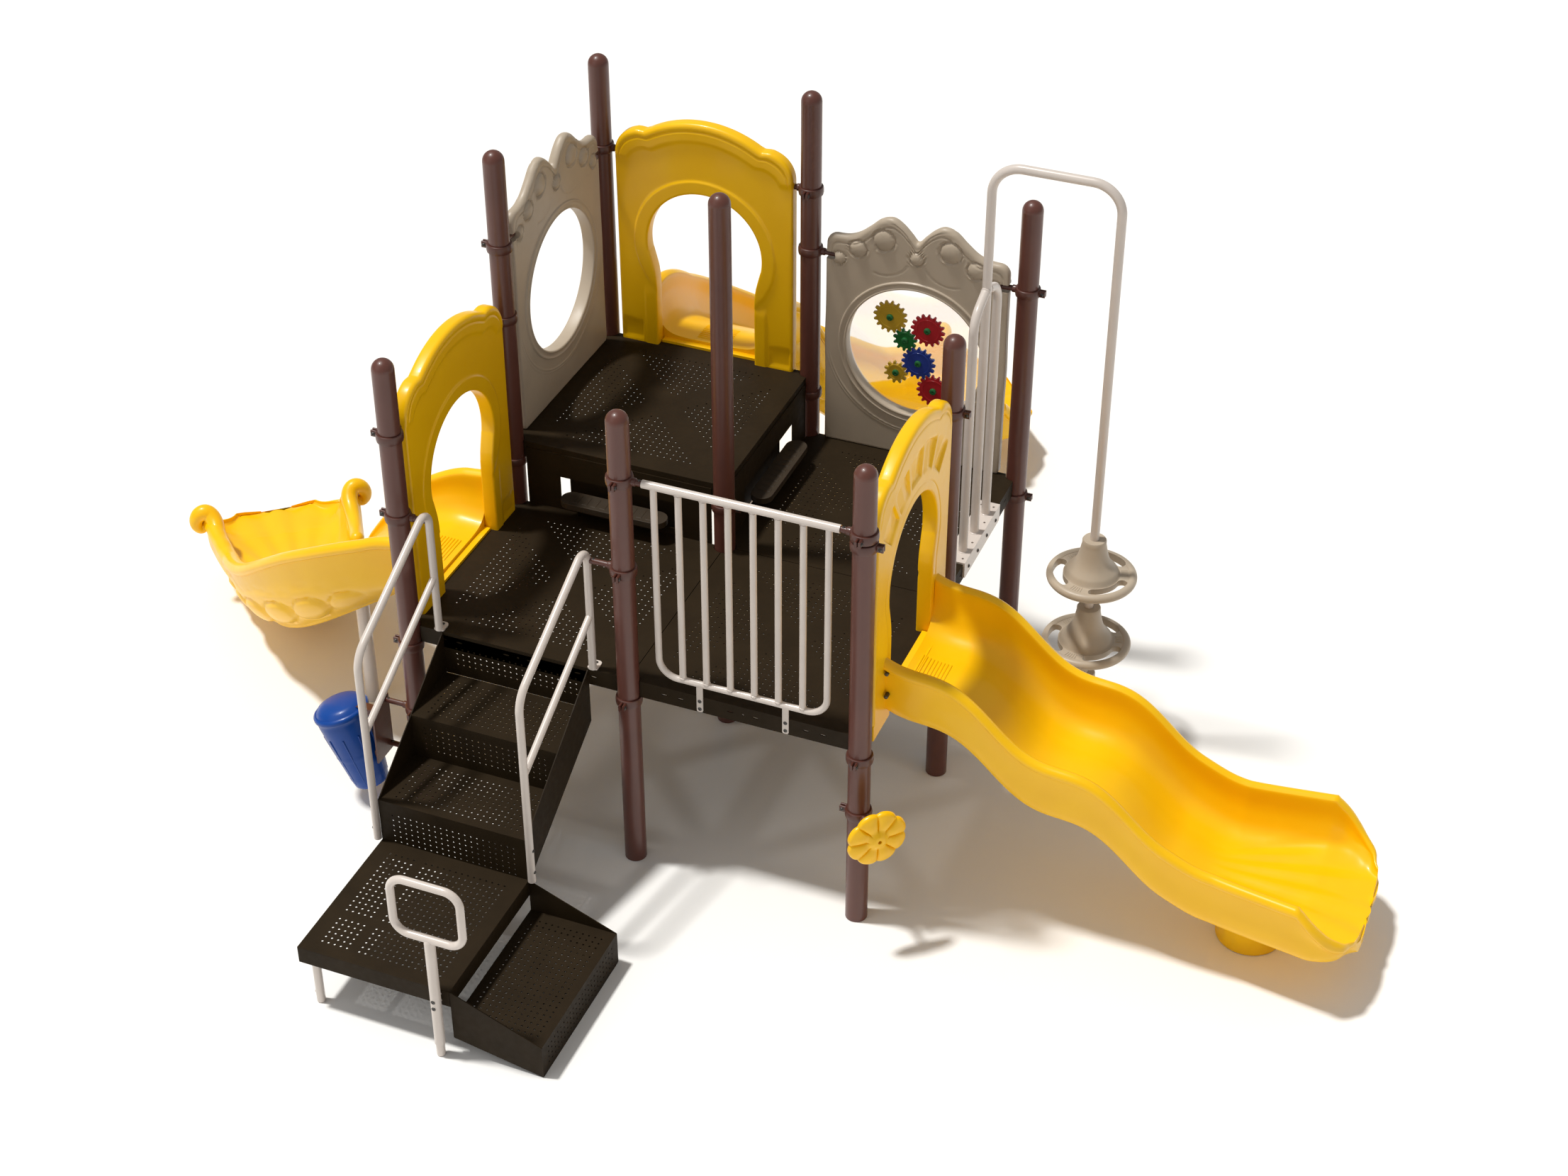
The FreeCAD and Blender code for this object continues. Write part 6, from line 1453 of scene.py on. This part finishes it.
def make_drum():
    tilt = Matrix.Translation((-0.215, -0.075, 0.085)) @ Matrix.Rotation(math.radians(-17.9), 4, "Y")
    foot, head, height = 0.074, 0.120, 0.372
    profile = [(0, 0), (foot - 0.006, 0), (foot, 0.006)]
    steps = 30
    for k in range(1, steps + 1):
        t = k / steps
        r = foot + (head * 0.94 - foot) * t ** 0.82
        r += 0.0022 * math.exp(-((t - 0.12) / 0.02) ** 2) + 0.0022 * math.exp(-((t - 0.5) / 0.014) ** 2)
        profile.append((r, 0.006 + (height * 0.86 - 0.006) * t))
    profile += [(head * 0.945, height * 0.9), (head * 0.95, height * 0.935), (head - 0.002, height * 0.947),
                (head, height * 0.957), (head, height - 0.006), (head - 0.003, height), (head - 0.010, height + 0.0035),
                (head - 0.013, height + 0.0015), (head - 0.017, height + 0.0045), (head * 0.8, height + 0.0175),
                (head * 0.62, height + 0.0262), (head * 0.45, height + 0.0315), (head * 0.22, height + 0.0350),
                (0, height + 0.0358)]
    mesh = Mesh()
    mesh.add(*lathe(profile, 72), tilt)
    piece("drum_moulding", mesh, BLUE, ("drum",), sharp=45)
    mesh = Mesh()
    for k in range(10):
        a = TAU * k / 10
        path = [(r * math.cos(a), r * math.sin(a), z) for r, z in ((0.0772, 0.03), (0.0905, 0.13), (0.101, 0.21),
                                                                 (0.1085, 0.272))]
        mesh.add(*sweep(path, 0.0038, 10), tilt)
    piece("drum_ribs", mesh, BLUE)


def make_flower():
    rings, segments = 22, 160
    radius, thick = 0.125, 0.034

    def rim(a):
        return radius - 0.011 * (1 - abs(math.sin(4 * a))) ** 1.5

    def height(s, a):
        petal = abs(math.sin(4 * a))
        r = s * rim(a)
        out = smoothstep(0.032, 0.050, r)
        bulge = math.sin(math.pi * min(1.0, max(0.0, (s - 0.28) / 0.72)) ** 0.8)
        base = 0.020 + 0.0125 * bulge * petal ** 0.55
        crease = 0.004 * math.exp(-(petal / 0.12) ** 2) * out * (1 - smoothstep(0.9, 1.0, s))
        edge = edge_drop((1 - s) * rim(a), 0.010)
        hub = 0.0405 - 0.006 * smoothstep(0.022, 0.030, r)
        return (base - crease) * out + hub * (1 - out) - edge

    mesh = Mesh()
    shares = [0.066] + list(np.linspace(0.1, 0.88, rings - 6)) + [0.91, 0.94, 0.965, 0.985, 1.0]
    loops = [[Vector((0.008 * math.cos(a), 0.008 * math.sin(a), 0.010)) for a in np.linspace(0, TAU, segments, False)]]
    for s in shares:
        loops.append([Vector((s * rim(a) * math.cos(a), s * rim(a) * math.sin(a), height(s, a)))
                      for a in np.linspace(0, TAU, segments, False)])
    loops.append([Vector((rim(a) * math.cos(a), rim(a) * math.sin(a), 0.004)) for a in np.linspace(0, TAU, segments, False)])
    loops.append([Vector(((rim(a) - 0.004) * math.cos(a), (rim(a) - 0.004) * math.sin(a), 0.0))
                  for a in np.linspace(0, TAU, segments, False)])
    verts, faces = loft(loops, True, True)
    way = Vector((math.sqrt(0.5), -math.sqrt(0.5), 0))
    centre = Vector((2 * BAY, 0, FLOWER_Z)) + way * (0.176 - thick / 2)
    turn = Matrix.Rotation(math.radians(-45), 4, "Z") @ Matrix.Rotation(math.radians(90), 4, "Y")
    mesh.add(verts, faces, Matrix.Translation(centre) @ turn)
    piece("flower_moulding", mesh, YELLOW, ("flower_disc",), sharp=50)


# ---------------------------------------------------------------- gears

def make_gears():
    """Each gear keeps its CAD teeth, with the edges rounded and a raised ring on its face."""
    for name, material in (("blue", GEAR_BLUE), ("green", GEAR_GREEN), ("upper_yellow", GEAR_YELLOW),
                           ("upper_red", GEAR_RED), ("lower_yellow", GEAR_YELLOW), ("lower_red", GEAR_RED)):
        node, body = name + "_gear", name + "_gear_set"
        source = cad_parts[node].data
        bm = bmesh.new()
        bm.from_mesh(source)
        bmesh.ops.remove_doubles(bm, verts=bm.verts, dist=0.00001)
        bmesh.ops.dissolve_limit(bm, angle_limit=math.radians(1), verts=bm.verts, edges=bm.edges)
        mesh = Mesh()
        bm.verts.index_update()
        mesh.add([v.co.copy() for v in bm.verts], [tuple(v.index for v in f.verts) for f in bm.faces])
        bm.free()
        low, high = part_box(node)
        centre, radius = (low + high) / 2, (high.x - low.x) / 2
        front = low.y
        piece(node + "_wheel", mesh, material, (node,), body, bevel=0.0011, sharp=25)
        face = Mesh()
        turn = Matrix.Translation((centre.x, front, centre.z)) @ Matrix.Rotation(math.pi / 2, 4, "X")
        ring = radius * 0.66
        face.add(*ring_solid([(ring - 0.003, -0.001), (ring - 0.002, 0.0012), (ring + 0.002, 0.0012),
                              (ring + 0.003, -0.001)], 64), turn)
        piece(node + "_ring", face, material, (), body)
        hub = Mesh()
        hub.add(*lathe([(0, 0.0002), (0.0148, 0.0002), (0.015, 0.001), (0.015, 0.005), (0.0138, 0.0082),
                        (0.0112, 0.0098), (0.0062, 0.01), (0.0055, 0.0085), (0.0055, 0.0065), (0, 0.0065)], 36), turn)
        piece(name + "_hub_cap", hub, HUB_GREEN, (name + "_hub",), body)


# ---------------------------------------------------------------- planks and carried-over nodes

def make_planks():
    boards, brackets = Mesh(), Mesh()
    half, radius = (0.486 - 0.096) / 2, 0.048
    top, thick = 0.106, 0.028
    outline = [(half + radius * math.cos(a), -radius + radius * math.sin(a))
               for a in np.linspace(-math.pi / 2, math.pi / 2, 16)]
    outline += [(-half - radius * math.cos(a), -radius + radius * math.sin(a))
                for a in np.linspace(math.pi / 2, -math.pi / 2, 16)]
    places = [Matrix.Translation((BAY / 2, BAY + GAP - SHEET, DECK_LOW)),
              Matrix.Translation((BAY - GAP + SHEET, 1.5 * BAY, DECK_LOW)) @ Matrix.Rotation(math.pi / 2, 4, "Z")]
    for place in places:
        boards.add(*prism(outline, top - thick, top), place)
        for k in range(9):
            x = (k - 4) * 0.042
            verts, faces = prism([(x - 0.012, -0.078), (x + 0.012, -0.078), (x + 0.012, -0.018), (x - 0.012, -0.018)],
                                 top - 0.001, top + 0.0016)
            boards.add(verts, faces, place)
        for sign in (-1, 1):
            x = sign * 0.17
            profile = round_path([(-0.06, 0.02), (-0.002, 0.012), (-0.002, top - thick), (-0.06, top - thick)],
                                 (0.02, 0, 0, 0))
            verts, faces = turned_outline(profile, x, SHEET)
            brackets.add(verts, faces, place)
    piece("step_plank_boards", boards, PLANK, ("step_planks",), bevel=0.0035)
    piece("step_plank_brackets", brackets, DECK_COAT)


def make_riser_shade_sheets():
    """Painted shade: a dark sheet behind each riser opening stands in for the shade under the high deck; a narrow slot
    stays open at one end.
    """
    mesh = Mesh()
    low, high = DECK_LOW - 0.04, DECK_HIGH - SKIRT
    mesh.add(*block((BAY / 2 - 0.252, BAY + 0.05, low), (BAY / 2 + 0.276, BAY + 0.054, high)))
    mesh.add(*block((BAY - 0.054, 1.5 * BAY - 0.276, low), (BAY - 0.05, 1.5 * BAY + 0.252, high)))
    # painted shade: these dark sheets stand where there is only shade behind the riser openings
    piece("riser_shade_sheets", mesh, DECK_COAT, bevel=0.0008)


def dress(material, *nodes):
    """Give carried-over CAD nodes a finished material."""
    for name in nodes:
        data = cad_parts[name].data
        data.materials.clear()
        data.materials.append(material)


make_clamps()
make_handrail("left_handrail", STAIR_L - TUBE)
make_handrail("right_handrail", STAIR_R + TUBE)
make_grab_loop()
make_barrier()
make_climber()
make_supports()
make_pods()
make_drum()
make_flower()
make_gears()
make_planks()
make_riser_shade_sheets()
dress(POST_PAINT, *(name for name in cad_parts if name.endswith("_post")), "post_caps")
dress(DECK_COAT, "deck_stiffeners", "front_riser", "side_riser")
dress(CLAMP_PAINT, "drum_bracket")
dress(STEEL, "gear_axles")
dress(CLEAR, "clear_window")

# ---------------------------------------------------------------- stage, light and camera

def stage():
    verts, faces = block((-12, -12, -0.012), (16, 18, -0.002))
    mesh = Mesh()
    mesh.add(verts, faces)
    me = bpy.data.meshes.new("floor")
    me.from_pydata([tuple(v) for v in mesh.verts], [], mesh.faces)
    floor = bpy.data.objects.new("floor", me)
    bpy.context.collection.objects.link(floor)
    me.materials.append(surface("floor_paint", srgb(250, 249, 247), 0.85, mottle=0.005, cloud=0.6, grain=60,
                                specular=0.1))
    bpy.context.scene.view_settings.view_transform = "Standard"
    world = bpy.data.worlds.new("studio")
    bpy.context.scene.world = world
    world.use_nodes = True
    world.node_tree.nodes["Background"].inputs["Color"].default_value = (1, 0.995, 0.985, 1)
    world.node_tree.nodes["Background"].inputs["Strength"].default_value = 0.36
    sun = bpy.data.lights.new("key", "SUN")
    sun.energy, sun.angle, sun.color = 2.8, math.radians(5), (1, 0.985, 0.95)
    key = bpy.data.objects.new("key", sun)
    key.rotation_euler = Vector((0.36, 0.085, -1)).to_track_quat("-Z", "Y").to_euler()
    bpy.context.collection.objects.link(key)
    area = bpy.data.lights.new("fill", "AREA")
    area.energy, area.size, area.color = 60, 6.0, (1, 0.99, 0.97)
    fill = bpy.data.objects.new("fill", area)
    fill.location = (-3.5, -6.0, 5.5)
    fill.rotation_euler = (Vector((1, 1, 0.8)) - Vector(fill.location)).to_track_quat("-Z", "Y").to_euler()
    bpy.context.collection.objects.link(fill)


def camera():
    lens = bpy.data.cameras.new("camera")
    lens.lens, lens.sensor_width, lens.clip_end = 59.9, 36, 100
    cam = bpy.data.objects.new("camera", lens)
    cam.location = (4.535, -7.231, 7.206)
    cam.rotation_euler = Vector((-0.3015, 0.7490, -0.5877)).to_track_quat("-Z", "Y").to_euler()
    bpy.context.collection.objects.link(cam)
    bpy.context.scene.camera = cam


stage()
camera()
